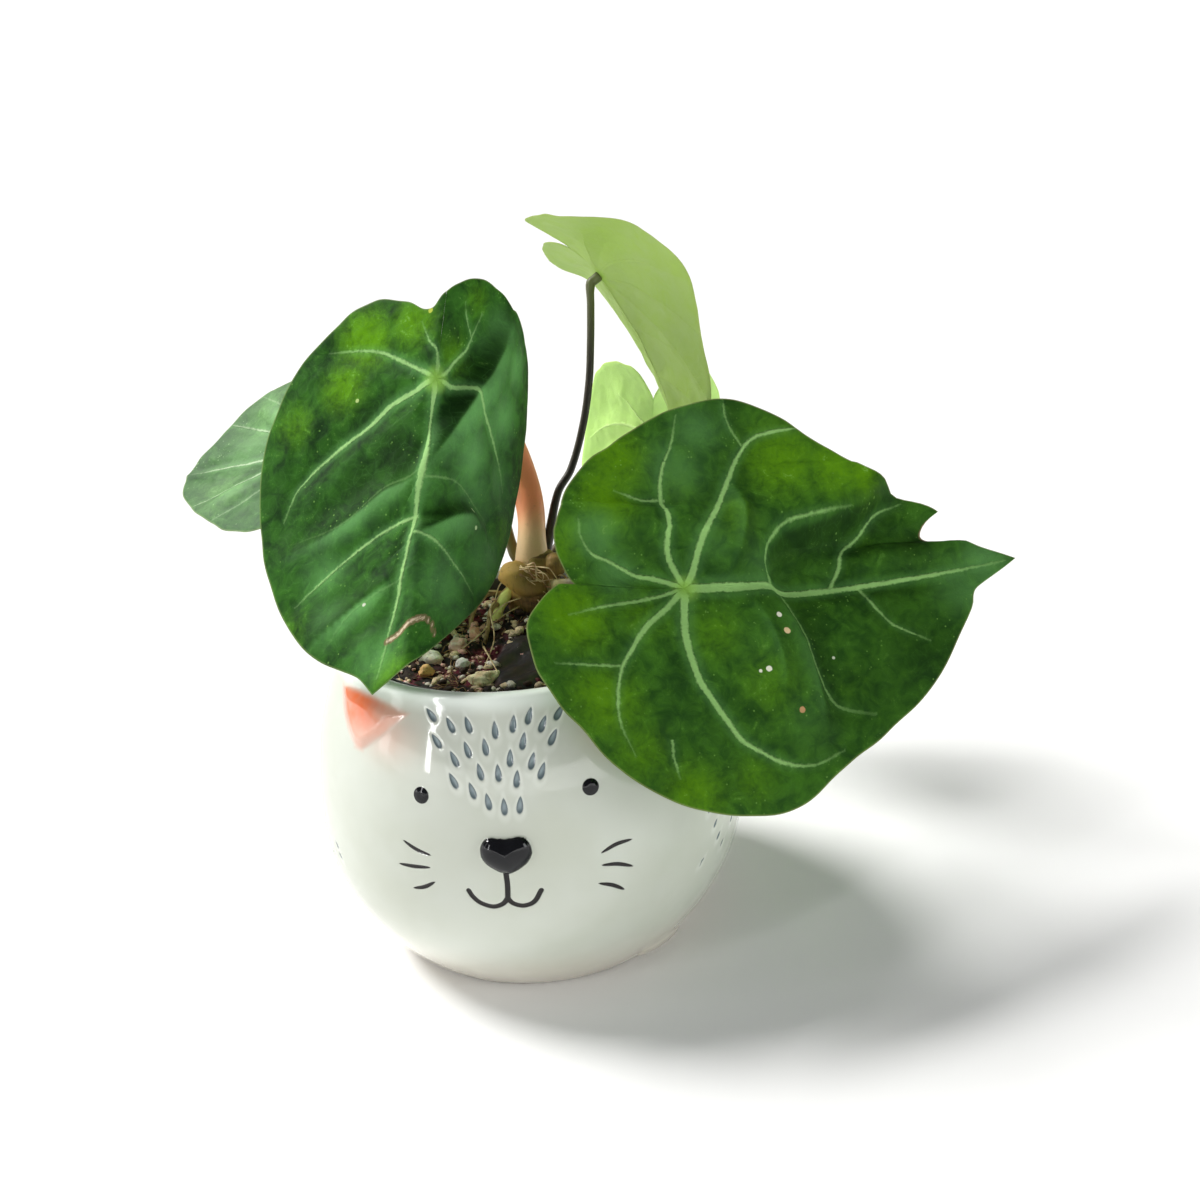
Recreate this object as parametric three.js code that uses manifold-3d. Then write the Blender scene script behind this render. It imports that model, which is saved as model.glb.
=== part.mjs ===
// A young anthurium with five heart-shaped leaves in a white glazed pot with an animal face.
// Millimetres, +Z up. The origin is the middle of the pot's flat base and the face looks to -Y.
import * as THREE from 'three';
import { mergeVertices } from 'three/addons/utils/BufferGeometryUtils.js';
import Module from 'manifold-3d';

const wasm = await Module();
wasm.setup();

// Pot: an egg-shaped body, given by the height of its widest ring and the two halves' rises.
const POT_RADIUS = 65;
const POT_EQUATOR = 41.4;
const POT_RISE_ABOVE = 80.5;
const POT_DROP_BELOW = 60.3;
const POT_POWER_ABOVE = 2.25;
const POT_POWER_BELOW = 1.89;
const POT_TOP = 95;
const POT_MOUTH_RADIUS = 47.8;
const POT_WALL = 4.2;
const POT_FLOOR = 6;
const POT_SEGMENTS = 52;

// Raised ears, nose and tail.
const EAR_AZIMUTH = 44.3;
const EAR_HALF_WIDTH = 17;
const EAR_TOP_HEIGHT = 91.5;
const EAR_TIP_HEIGHT = 78.5;
const EAR_RAISE = 1.3;
const NOSE_HEIGHT = 54.8;
const NOSE_HALF_WIDTH = 7;
const NOSE_HALF_HEIGHT = 5;
const NOSE_RAISE = 3.2;
const TAIL = { azimuth: 50, radius: 48, height: 5.2, along: 11, across: 2.9, up: 3.6 };

// Grow pot standing inside.
const GROW_TOP = 94;
const GROW_TOP_RADIUS = 46.4;
const GROW_FOOT_RADIUS = 34;
const GROW_WALL = 1;
const GROW_FOOT = POT_FLOOR + 0.3;
const GROW_SEGMENTS = 36;

// Potting mix and its grains.
const SOIL_EDGE = 86;
const SOIL_MOUND = 4.5;
const SOIL_CENTRE = [1, 22];
const SOIL_MOUND_RADIUS = 26;
const SOIL_SEGMENTS = 36;
const GRAIN_COUNT = 28;
const GRAIN_SIZE = [1.2, 2.4];
const GAP = 0.3;

// Blades.
const BLADE_THICKNESS = 0.8;
const MIDRIB_SOFTNESS = 2.5;
const SLIT_HALF = 0.35;
const HUB_RADIUS = 2.4;
const RADIUS_ANGLES = [0, 4, 8, 15, 25, 40, 55, 70, 90, 110, 130, 150, 165, 180];
const SIDE_ANGLES = [2, 5, 9, 15, 23, 32, 42, 53, 64, 75, 86, 98, 110, 122, 134, 146, 156, 165, 173];

const MATERIALS = {
  glaze: new THREE.MeshStandardMaterial({ color: 0xe4e9df, roughness: 0.12, metalness: 0 }),
  plastic: new THREE.MeshStandardMaterial({ color: 0x23241f, roughness: 0.5, metalness: 0 }),
  mix: new THREE.MeshStandardMaterial({ color: 0x2b211c, roughness: 0.95, metalness: 0 }),
  pumice: new THREE.MeshStandardMaterial({ color: 0xc49a83, roughness: 0.9, metalness: 0 }),
  stem: new THREE.MeshStandardMaterial({ color: 0xa58f54, roughness: 0.6, metalness: 0 }),
  stalk: new THREE.MeshStandardMaterial({ color: 0x4a4a2e, roughness: 0.5, metalness: 0 }),
  sheath: new THREE.MeshStandardMaterial({ color: 0xc9735a, roughness: 0.5, metalness: 0 }),
  blade: new THREE.MeshStandardMaterial({ color: 0x1f5226, roughness: 0.42, metalness: 0 }),
  youngBlade: new THREE.MeshStandardMaterial({ color: 0x8fb463, roughness: 0.45, metalness: 0 }),
};

const plant = new THREE.Group();
plant.name = 'potted_anthurium';

const radians = (degrees) => (degrees * Math.PI) / 180;
const clamp01 = (x) => Math.min(1, Math.max(0, x));
const smooth = (x) => clamp01(x) ** 2 * (3 - 2 * clamp01(x));

function add(name, geometry, material) {
  const mesh = new THREE.Mesh(geometry, material);
  mesh.name = name;
  plant.add(mesh);
  return mesh;
}

// A small repeatable random source, so that grains and pebbles always fall alike.
function randomSource(seed) {
  let state = seed;
  return () => {
    state = (state * 1664525 + 1013904223) % 4294967296;
    return state / 4294967296;
  };
}

function toSolid(geometry) {
  const bare = geometry.index ? geometry.clone() : geometry;
  bare.deleteAttribute('normal');
  bare.deleteAttribute('uv');
  const merged = mergeVertices(bare, 1e-5);
  return new wasm.Manifold(new wasm.Mesh({
    numProp: 3,
    vertProperties: new Float32Array(merged.attributes.position.array),
    triVerts: new Uint32Array(merged.index.array),
  }));
}

function toGeometry(solid) {
  const mesh = solid.getMesh();
  const geometry = new THREE.BufferGeometry();
  geometry.setAttribute('position', new THREE.BufferAttribute(new Float32Array(mesh.vertProperties), 3));
  geometry.setIndex(new THREE.BufferAttribute(new Uint32Array(mesh.triVerts), 1));
  return geometry;
}

// Smooth curve through (xs, ys) with the slope at each point taken from its neighbours.
function interpolate(xs, ys, x) {
  let i = 0;
  while (i < xs.length - 2 && x > xs[i + 1]) i += 1;
  const slope = (k) => {
    const a = Math.max(0, k - 1);
    const b = Math.min(xs.length - 1, k + 1);
    return (ys[b] - ys[a]) / (xs[b] - xs[a]);
  };
  const h = xs[i + 1] - xs[i];
  const t = clamp01((x - xs[i]) / h);
  return ys[i] * (2 * t ** 3 - 3 * t ** 2 + 1) + h * slope(i) * (t ** 3 - 2 * t ** 2 + t)
    + ys[i + 1] * (-2 * t ** 3 + 3 * t ** 2) + h * slope(i + 1) * (t ** 3 - t ** 2);
}

// Ceramic pot.
function potRadius(z) {
  const above = z > POT_EQUATOR;
  const reach = above ? (z - POT_EQUATOR) / POT_RISE_ABOVE : (POT_EQUATOR - z) / POT_DROP_BELOW;
  const power = above ? POT_POWER_ABOVE : POT_POWER_BELOW;
  return POT_RADIUS * (1 - clamp01(reach) ** power) ** (1 / power);
}

function potPoint(azimuth, z, lift) {
  const r = potRadius(z) + lift;
  return new THREE.Vector3(r * Math.sin(radians(azimuth)), -r * Math.cos(radians(azimuth)), z);
}

function lathe(profile, segments) {
  const points = profile.map(([r, z]) => new THREE.Vector2(r, z));
  const geometry = new THREE.LatheGeometry(points, segments);
  geometry.rotateX(Math.PI / 2);
  return geometry;
}

function potBody() {
  const outside = [[0, 0], [potRadius(0) - 1.2, 0], [potRadius(1.2), 1.2]];
  for (const z of [5, 10, 17, 25, 33, 41, 50, 58, 66, 74, 81, 87, 91]) outside.push([potRadius(z), z]);
  const lip = [
    [potRadius(93.6) - 0.1, 93.6],
    [potRadius(95) - 1.2, 95.5],
    [POT_MOUTH_RADIUS + 1.4, 96],
    [POT_MOUTH_RADIUS + 0.3, 95.6],
    [POT_MOUTH_RADIUS, POT_TOP - 0.6],
    [POT_MOUTH_RADIUS, 92],
  ];
  const inside = [];
  for (const z of [85, 72, 58, 42, 26, 14]) inside.push([potRadius(z) - POT_WALL, z]);
  inside.push([potRadius(POT_FLOOR + 1) - POT_WALL - 3, POT_FLOOR + 1]);
  inside.push([potRadius(POT_FLOOR) - POT_WALL - 7, POT_FLOOR]);
  inside.push([0, POT_FLOOR]);
  return toSolid(lathe([...outside, ...lip, ...inside], POT_SEGMENTS));
}

// A raised patch on the pot's skin: a grid over (u, v), with its footprint and swell given.
function skinPatch(columns, rows, place, swell) {
  const positions = [];
  const index = [];
  const at = (i, j, layer) => (layer * (rows + 1) + j) * (columns + 1) + i;
  for (const layer of [0, 1]) {
    for (let j = 0; j <= rows; j += 1) {
      for (let i = 0; i <= columns; i += 1) {
        const [azimuth, z] = place(i / columns, j / rows);
        const lift = layer ? swell(i / columns, j / rows) : -1.5;
        positions.push(...potPoint(azimuth, z, lift));
      }
    }
  }
  for (let j = 0; j < rows; j += 1) {
    for (let i = 0; i < columns; i += 1) {
      const front = [at(i, j, 1), at(i + 1, j, 1), at(i + 1, j + 1, 1), at(i, j + 1, 1)];
      const back = [at(i, j, 0), at(i + 1, j, 0), at(i + 1, j + 1, 0), at(i, j + 1, 0)];
      index.push(front[0], front[1], front[2], front[0], front[2], front[3]);
      index.push(back[0], back[2], back[1], back[0], back[3], back[2]);
    }
  }
  const wall = (a, b) => {
    index.push(at(...a, 0), at(...b, 0), at(...b, 1), at(...a, 0), at(...b, 1), at(...a, 1));
  };
  for (let i = 0; i < columns; i += 1) {
    wall([i, 0], [i + 1, 0]);
    wall([i + 1, rows], [i, rows]);
  }
  for (let j = 0; j < rows; j += 1) {
    wall([columns, j], [columns, j + 1]);
    wall([0, j + 1], [0, j]);
  }
  const geometry = new THREE.BufferGeometry();
  geometry.setAttribute('position', new THREE.Float32BufferAttribute(positions, 3));
  geometry.setIndex(index);
  return toSolid(geometry);
}

// Folded-down ear: wide along the rim, narrowing to a blunt tip below.
function ear(side) {
  const place = (u, v) => {
    const width = 0.06 + 0.94 * v ** 0.85;
    const azimuth = side * EAR_AZIMUTH + (2 * u - 1) * EAR_HALF_WIDTH * width;
    const height = EAR_TIP_HEIGHT + (EAR_TOP_HEIGHT - EAR_TIP_HEIGHT) * v - 1.6 * v * (2 * u - 1) ** 2;
    return [azimuth, height];
  };
  const swell = (u, v) => EAR_RAISE * Math.min(1, 0.35 + 2.5 * Math.min(u, 1 - u)) * (1 - 0.3 * v);
  return skinPatch(7, 4, place, swell);
}

// Nose: a rounded triangle, widest above its middle, swelling like a button.
function nose() {
  const degreesPerMm = 180 / (Math.PI * potRadius(NOSE_HEIGHT));
  const place = (u, v) => {
    const a = 2 * u - 1;
    const b = 2 * v - 1;
    const x = a * Math.sqrt(1 - b * b / 2);
    const y = b * Math.sqrt(1 - a * a / 2);
    const half = NOSE_HALF_WIDTH * (0.8 + 0.2 * y);
    return [x * half * degreesPerMm, NOSE_HEIGHT + y * NOSE_HALF_HEIGHT];
  };
  const swell = (u, v) => {
    const edge = (1 - (2 * u - 1) ** 4) * (1 - (2 * v - 1) ** 4);
    return 0.4 + (NOSE_RAISE - 0.4) * Math.sqrt(Math.max(0, edge));
  };
  return skinPatch(7, 7, place, swell);
}

function tail() {
  const geometry = new THREE.SphereGeometry(1, 12, 9);
  geometry.scale(TAIL.along, TAIL.across, TAIL.up);
  geometry.rotateZ(radians(TAIL.azimuth));
  geometry.translate(
    TAIL.radius * Math.sin(radians(TAIL.azimuth)),
    -TAIL.radius * Math.cos(radians(TAIL.azimuth)),
    TAIL.height,
  );
  return toSolid(geometry);
}

const potSolid = potBody().add(ear(-1)).add(ear(1)).add(nose()).add(tail());
add('ceramic_pot', toGeometry(potSolid), MATERIALS.glaze);

// Grow pot, with a rolled rim and drain holes round its foot.
function growRadius(z) {
  return GROW_FOOT_RADIUS + (GROW_TOP_RADIUS - 1 - GROW_FOOT_RADIUS) * (z - GROW_FOOT) / (GROW_TOP - GROW_FOOT);
}

function growPot() {
  const profile = [
    [0, GROW_FOOT],
    [GROW_FOOT_RADIUS, GROW_FOOT],
    [growRadius(86), 86],
    [GROW_TOP_RADIUS, 86.4],
    [GROW_TOP_RADIUS, GROW_TOP - 0.4],
    [GROW_TOP_RADIUS - 0.4, GROW_TOP],
    [growRadius(GROW_TOP) - GROW_WALL, GROW_TOP - 0.2],
    [growRadius(GROW_FOOT + 1.4) - GROW_WALL, GROW_FOOT + 1.4],
    [0, GROW_FOOT + 1.4],
  ];
  let solid = toSolid(lathe(profile, GROW_SEGMENTS));
  for (let k = 0; k < 6; k += 1) {
    const hole = new THREE.CylinderGeometry(3.5, 3.5, 6, 10);
    hole.rotateX(Math.PI / 2);
    const turn = radians(60 * k + 30);
    hole.translate(24 * Math.cos(turn), 24 * Math.sin(turn), GROW_FOOT);
    solid = solid.subtract(toSolid(hole));
  }
  return solid;
}

add('nursery_pot', toGeometry(growPot()), MATERIALS.plastic);

// A closed round tube along a smooth curve, with its radius given at each point.
function sweep(points, radii, sides = 8, steps = 14) {
  const curve = new THREE.CatmullRomCurve3(points.map((p) => new THREE.Vector3(...p)));
  const frames = curve.computeFrenetFrames(steps, false);
  const positions = [];
  const index = [];
  const places = radii.map((_, k) => k / (radii.length - 1));
  for (let k = 0; k <= steps; k += 1) {
    const t = k / steps;
    const centre = curve.getPointAt(t);
    const radius = interpolate(places, radii, t);
    for (let m = 0; m < sides; m += 1) {
      const turn = (2 * Math.PI * m) / sides;
      const out = frames.normals[k].clone().multiplyScalar(Math.cos(turn) * radius)
        .addScaledVector(frames.binormals[k], Math.sin(turn) * radius);
      positions.push(...centre.clone().add(out));
    }
  }
  for (let k = 0; k < steps; k += 1) {
    for (let m = 0; m < sides; m += 1) {
      const a = k * sides + m;
      const b = k * sides + ((m + 1) % sides);
      index.push(a, b, b + sides, a, b + sides, a + sides);
    }
  }
  for (let m = 1; m < sides - 1; m += 1) {
    index.push(0, m + 1, m);
    index.push(steps * sides, steps * sides + m, steps * sides + m + 1);
  }
  const geometry = new THREE.BufferGeometry();
  geometry.setAttribute('position', new THREE.Float32BufferAttribute(positions, 3));
  geometry.setIndex(index);
  return geometry;
}

// Stem and roots, grown as one piece. Each root is its route and its radii.
const STEM_ROUTE = [[1, 26.5, 83], [1.5, 27, 91], [3, 27.5, 98], [4.5, 28.5, 104], [5, 29, 108.5]];
const STEM_RADII = [5, 6.6, 8.2, 7.6, 5.2];
const BUD = { centre: [10.6, 26.5, 104.2], radius: 3 };
const ROOTS = [
  { route: [[-1, 25.5, 99], [-5.5, 21.5, 96], [-8.5, 19, 90], [-9.4, 18.4, 82]], radii: [1.8, 1.7, 1.6, 1.4] },
  { route: [[-4, 27, 95], [-12, 24, 96], [-16, 18, 91.5], [-17, 13, 83]], radii: [0.8, 0.7, 0.7, 0.6] },
  { route: [[-3, 25, 93], [-9, 17, 94.5], [-10, 7, 91], [-12, 1, 83]], radii: [0.8, 0.7, 0.7, 0.6] },
  { route: [[6, 22, 94], [9, 14, 94], [8, 6, 91], [6, 1, 83]], radii: [0.8, 0.7, 0.6, 0.6] },
  { route: [[8, 29, 95], [17, 31, 95.5], [22, 27, 91], [24, 24, 82]], radii: [1.2, 1.1, 1, 0.9] },
  { route: [[2, 32, 94], [0, 38, 93], [-4, 40.5, 89], [-5, 40.5, 81]], radii: [1.2, 1.1, 1, 0.9] },
];

function stemSolid() {
  let solid = toSolid(sweep(STEM_ROUTE, STEM_RADII, 12, 9));
  const bud = new THREE.IcosahedronGeometry(BUD.radius, 1);
  bud.scale(1, 1, 1.25);
  bud.translate(...BUD.centre);
  solid = solid.add(toSolid(bud));
  for (const root of ROOTS) solid = solid.add(toSolid(sweep(root.route, root.radii, 6, 7)));
  return solid;
}

// The mix fills the grow pot and rises in a low mound round the stem. Grains are fused into its top.
function soilHeight(x, y) {
  const away = Math.hypot(x - SOIL_CENTRE[0], y - SOIL_CENTRE[1]);
  const ripple = 0.5 * Math.sin(0.31 * x + 1.3) * Math.cos(0.27 * y) + 0.3 * Math.sin(0.7 * x - 0.5 * y);
  return SOIL_EDGE + SOIL_MOUND * Math.exp(-((away / SOIL_MOUND_RADIUS) ** 2)) + ripple;
}

function soilSolid() {
  const rings = [0, 0.25, 0.5, 0.75, 1];
  const rimRadius = growRadius(SOIL_EDGE - 1) - GROW_WALL - 0.5;
  const positions = [];
  const index = [];
  const ringStart = [];
  for (const t of rings.slice(1)) {
    ringStart.push(positions.length / 3);
    for (let m = 0; m < SOIL_SEGMENTS; m += 1) {
      const turn = (2 * Math.PI * m) / SOIL_SEGMENTS;
      const x = rimRadius * t * Math.cos(turn);
      const y = rimRadius * t * Math.sin(turn);
      positions.push(x, y, soilHeight(x, y));
    }
  }
  const foot = GROW_FOOT + 1.4 + GAP;
  ringStart.push(positions.length / 3);
  for (let m = 0; m < SOIL_SEGMENTS; m += 1) {
    const turn = (2 * Math.PI * m) / SOIL_SEGMENTS;
    const r = growRadius(foot) - GROW_WALL - 0.5;
    positions.push(r * Math.cos(turn), r * Math.sin(turn), foot);
  }
  const top = positions.length / 3;
  positions.push(0, 0, soilHeight(0, 0));
  positions.push(0, 0, foot);
  for (let m = 0; m < SOIL_SEGMENTS; m += 1) {
    const next = (m + 1) % SOIL_SEGMENTS;
    index.push(top, m, next);
    for (let k = 0; k < ringStart.length - 1; k += 1) {
      const a = ringStart[k] + m;
      const b = ringStart[k] + next;
      const c = ringStart[k + 1] + next;
      const d = ringStart[k + 1] + m;
      index.push(a, d, c, a, c, b);
    }
    const last = ringStart[ringStart.length - 1];
    index.push(top + 1, last + next, last + m);
  }
  const geometry = new THREE.BufferGeometry();
  geometry.setAttribute('position', new THREE.Float32BufferAttribute(positions, 3));
  geometry.setIndex(index);
  return toSolid(geometry);
}

// Pebbles that lie free on the mix: where each one is, its half sizes and its turn.
const PEBBLES = [
  { at: [-8, -20], half: [4.2, 2.9, 2.4], turn: 20 },
  { at: [-18.5, 2], half: [3.3, 2.4, 2.2], turn: 75 },
  { at: [-26, -14], half: [3, 2.6, 2.3], turn: 10 },
  { at: [-25.5, -4.5], half: [3.8, 2.4, 2.2], turn: 150 },
  { at: [-15.5, -10.5], half: [2.6, 2.1, 1.8], turn: 60 },
  { at: [-14.5, 9], half: [4, 1.9, 1.8], turn: 100 },
  { at: [14, -14], half: [4.4, 3, 2.6], turn: 140 },
  { at: [27, 9], half: [4, 3.1, 2.5], turn: 35 },
  { at: [-22, 24], half: [3.8, 3, 2.4], turn: 120 },
  { at: [16, 34], half: [3.7, 2.7, 2.3], turn: 80 },
];

function pebble({ at, half, turn }, seed) {
  const random = randomSource(seed);
  const geometry = new THREE.IcosahedronGeometry(1, 1);
  const bare = mergeVertices(geometry.deleteAttribute('normal').deleteAttribute('uv'), 1e-5);
  const position = bare.attributes.position;
  for (let k = 0; k < position.count; k += 1) {
    const scale = 0.9 + 0.2 * random();
    position.setXYZ(k, position.getX(k) * scale, position.getY(k) * scale, position.getZ(k) * scale);
  }
  bare.scale(...half);
  bare.rotateZ(radians(turn));
  bare.translate(at[0], at[1], soilHeight(at[0], at[1]) + 0.55 * half[2]);
  return bare;
}

const stem = stemSolid();
let soil = soilSolid();
const random = randomSource(7);
let placed = 0;
while (placed < GRAIN_COUNT) {
  const turn = 2 * Math.PI * random();
  const away = 41 * Math.sqrt(random());
  const x = away * Math.cos(turn);
  const y = away * Math.sin(turn);
  const size = GRAIN_SIZE[0] + (GRAIN_SIZE[1] - GRAIN_SIZE[0]) * random();
  const flat = 0.6 + 0.3 * random();
  const spin = Math.PI * random();
  const nearStem = Math.hypot(x - 1, y - 27) < 10 + size;
  const nearPebble = PEBBLES.some((p) => Math.hypot(x - p.at[0], y - p.at[1]) < p.half[0] + size + 0.8);
  if (nearStem || nearPebble) continue;
  const grain = new THREE.IcosahedronGeometry(size, 0);
  grain.scale(1, 0.75, flat);
  grain.rotateZ(spin);
  grain.translate(x, y, soilHeight(x, y) + 0.2 * size);
  soil = soil.add(toSolid(grain));
  placed += 1;
}

// Each thing that stands in the mix or lies in it gets a socket that is 0.3 mm wider than itself.
function socket(route, radii, sides, steps) {
  const wider = toSolid(sweep(route, radii.map((r) => r + GAP + 0.2), sides, steps));
  const rising = route[0][2] < route[route.length - 1][2];
  const foot = rising ? route[0] : route[route.length - 1];
  const radius = (rising ? radii[0] : radii[radii.length - 1]) + 0.8;
  const end = new THREE.CylinderGeometry(radius, radius, 2, 10);
  end.rotateX(Math.PI / 2);
  end.translate(...foot);
  return wider.add(toSolid(end));
}

soil = soil.subtract(socket(STEM_ROUTE, STEM_RADII, 12, 9));
for (const root of ROOTS) soil = soil.subtract(socket(root.route, root.radii, 6, 7));
PEBBLES.forEach((stone, k) => {
  const wider = { ...stone, half: stone.half.map((h) => h + GAP + 0.1) };
  const socket = pebble(wider, 100 + k);
  socket.translate(0, 0, -0.55 * (GAP + 0.1));
  soil = soil.subtract(toSolid(socket));
});
const soilParts = soil.decompose().sort((a, b) => b.volume() - a.volume());
add('soil', toGeometry(soilParts[0]), MATERIALS.mix);
add('stem', toGeometry(stem), MATERIALS.stem);
PEBBLES.forEach((stone, k) => add(`pebble_${k + 1}`, pebble(stone, 100 + k), MATERIALS.pumice));

// Blades. Each is a flat heart, given by its radii from the stalk to the margin on the two sides,
// then bent along the midrib, folded about it, and placed by its stalk joint and three turns.
// Lengths in mm, angles in degrees, bends in degrees for each 10 mm.
const LEAVES = {
  leaf_a: {
    joint: [-14.8, -2.9, 171.7],
    yaw: -107.7,
    pitch: -60.3,
    roll: -35.8,
    bendTip: -2.2,
    bendLobes: -0.3,
    foldRight: 32.1,
    foldLeft: 46.7,
    curlRight: 6.2,
    curlLeft: -2.3,
    lobeRight: 0,
    lobeLeft: 0,
    sideways: -2.9,
    right: [89.5, 85.5, 81.5, 74.5, 68, 62, 57.5, 54.5, 52.5, 49, 43.5, 37.5, 32, 25],
    left: [89.5, 84.5, 82.5, 80.5, 76.5, 70, 64, 58.5, 49.5, 41, 35, 25.5, 20.5, 25],
    rings: 5,
  },
  leaf_b: {
    joint: [50.4, -20.9, 111.1],
    yaw: 19.7,
    pitch: -11.9,
    roll: 36.8,
    bendTip: -0.6,
    bendLobes: -1.2,
    foldRight: -24.4,
    foldLeft: 3,
    curlRight: 1.7,
    curlLeft: 2.8,
    lobeRight: 0,
    lobeLeft: 0,
    sideways: 1.6,
    right: [107, 95, 91, 86.5, 71, 64, 63, 62, 54, 47, 45, 42.5, 38.5, 32],
    left: [107, 93, 90, 84.5, 79, 71, 67, 68.5, 64.5, 60, 55, 53, 49, 37],
    rings: 9,
    wave: true,
    bite: { from: 6.5, to: 13.5, depth: 10 },
  },
  leaf_c: {
    joint: [29.5, 64.6, 186.4],
    yaw: -12.9,
    pitch: -51.3,
    roll: -23.7,
    bendTip: 5.2,
    bendLobes: 12.5,
    foldRight: -0.3,
    foldLeft: -26.9,
    curlRight: 0,
    curlLeft: 0,
    lobeRight: 10.4,
    lobeLeft: 17.8,
    sideways: -0.95,
    right: [67, 63.5, 59.5, 54, 49.5, 46, 45, 43, 39.5, 35, 30, 25, 18.5, 8.5],
    left: [67, 65.5, 62.5, 58.5, 54.5, 45.5, 43, 43, 35, 31.5, 31, 30, 28, 7.5],
    rings: 4,
  },
  leaf_d: {
    joint: [41.8, 94, 125.9],
    yaw: 107.2,
    pitch: -70,
    roll: 25.2,
    bendTip: 6.9,
    bendLobes: 6.8,
    foldRight: -37.6,
    foldLeft: -49.8,
    curlRight: 0,
    curlLeft: 0,
    lobeRight: 0,
    lobeLeft: 0,
    sideways: 0.6,
    right: [58, 55, 51.5, 47.5, 45.5, 44, 42, 36, 32, 30.5, 29, 27, 24, 15.5],
    left: [58, 55, 51.5, 47.5, 45, 43, 41, 37, 33.5, 30.5, 28.5, 26.5, 23.5, 15.5],
    rings: 4,
  },
  leaf_e: {
    joint: [-61.2, 36.6, 143.7],
    yaw: 160.1,
    pitch: -11.9,
    roll: -22.2,
    bendTip: 0,
    bendLobes: 2.9,
    foldRight: -0.6,
    foldLeft: -16.8,
    curlRight: 3.2,
    curlLeft: 0.9,
    lobeRight: 0,
    lobeLeft: 0,
    sideways: 0,
    right: [54, 52.5, 51.5, 49.5, 45.5, 41, 39, 37, 33.5, 31, 28.5, 27, 25, 17.5],
    left: [54, 52, 51, 47.5, 45.5, 43, 39, 36.5, 34, 31, 28, 27, 25, 18],
    rings: 4,
  },
};

// Leaf B's standing wave: its crest runs from the upper margin to the midrib and dies out below it.
// Crest position along the midrib and crest height, both against the distance w from the midrib.
const CREST_W = [-46, -33, -20, -11, -1, 5, 12, 16, 18, 20, 23, 27, 32, 38];
const CREST_S = [34, 35, 34, 32, 28.5, 26.5, 26.5, 30, 36, 44, 55, 62, 68, 74];
const HEIGHT_W = [-50, -42, -30, -10, 0, 8, 20, 40];
const HEIGHT = [0, 1, 4, 4, 5, 8, 9, 9];

function waveHeight(s, w) {
  const across = Math.min(38, Math.max(-46, w));
  const crest = interpolate(CREST_W, CREST_S, across);
  const lean = interpolate(CREST_W, CREST_S, Math.min(38, across + 0.5))
    - interpolate(CREST_W, CREST_S, Math.max(-46, across - 0.5));
  const away = (crest - s) / Math.hypot(1, lean);
  const height = interpolate(HEIGHT_W, HEIGHT, Math.min(40, Math.max(-50, w)));
  const reach = away > 0 ? 24 : 34;
  return 0.5 * height * Math.tanh(away / 2.5) * Math.exp(-((away / reach) ** 2));
}

// Distance gone along and across for a line of length x that starts at an angle and keeps curving.
function curvedRun(angle, curvature, x) {
  const k = Math.abs(curvature) < 1e-7 ? 1e-7 : curvature;
  return [
    (Math.sin(angle + k * x) - Math.sin(angle)) / k,
    (Math.cos(angle) - Math.cos(angle + k * x)) / k,
  ];
}

function leafFrame(leaf) {
  const yaw = radians(leaf.yaw);
  const pitch = radians(leaf.pitch);
  const roll = radians(leaf.roll);
  const tip = new THREE.Vector3(
    Math.cos(yaw) * Math.cos(pitch),
    Math.sin(yaw) * Math.cos(pitch),
    Math.sin(pitch),
  );
  const level = new THREE.Vector3(0, 0, 1).cross(tip).normalize();
  const lifted = tip.clone().cross(level);
  const across = level.clone().multiplyScalar(Math.cos(roll)).addScaledVector(lifted, Math.sin(roll));
  const up = lifted.clone().multiplyScalar(Math.cos(roll)).addScaledVector(level, -Math.sin(roll));
  return { tip, across, up };
}

// A point of the blade's middle sheet, from its place (s, w) on the flat leaf: s toward the tip.
function bladePoint(leaf, frame, s, w) {
  const perMm = (bend) => radians(bend) / 10;
  const bend = perMm(s >= 0 ? leaf.bendTip : leaf.bendLobes);
  const [x, drop] = curvedRun(0, bend, s);
  const lean = bend * s;
  const lobe = smooth(-s / 20);
  const right = w >= 0;
  const fold = radians(right ? leaf.foldRight + leaf.lobeRight * lobe : leaf.foldLeft + leaf.lobeLeft * lobe);
  const curl = perMm(right ? leaf.curlRight : leaf.curlLeft);
  const softened = Math.hypot(w, MIDRIB_SOFTNESS) - MIDRIB_SOFTNESS;
  const out = curvedRun(fold, curl, Math.abs(w))[0];
  const down = curvedRun(fold, curl, softened)[1] - (leaf.wave ? waveHeight(s, w) : 0);
  const local = [
    x - Math.sin(lean) * down,
    Math.sign(w) * out,
    -drop - Math.cos(lean) * down,
  ];
  return new THREE.Vector3(...leaf.joint)
    .addScaledVector(frame.tip, local[0])
    .addScaledVector(frame.across, local[1])
    .addScaledVector(frame.up, local[2]);
}

function marginRadius(leaf, angle) {
  const side = angle >= 0 ? leaf.right : leaf.left;
  let radius = interpolate(RADIUS_ANGLES, side, Math.abs(angle));
  if (leaf.bite && angle > leaf.bite.from && angle < leaf.bite.to) {
    const middle = (leaf.bite.from + leaf.bite.to) / 2;
    const half = (leaf.bite.to - leaf.bite.from) / 2;
    radius -= leaf.bite.depth * Math.sqrt(1 - ((angle - middle) / half) ** 2);
  }
  return radius;
}

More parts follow.
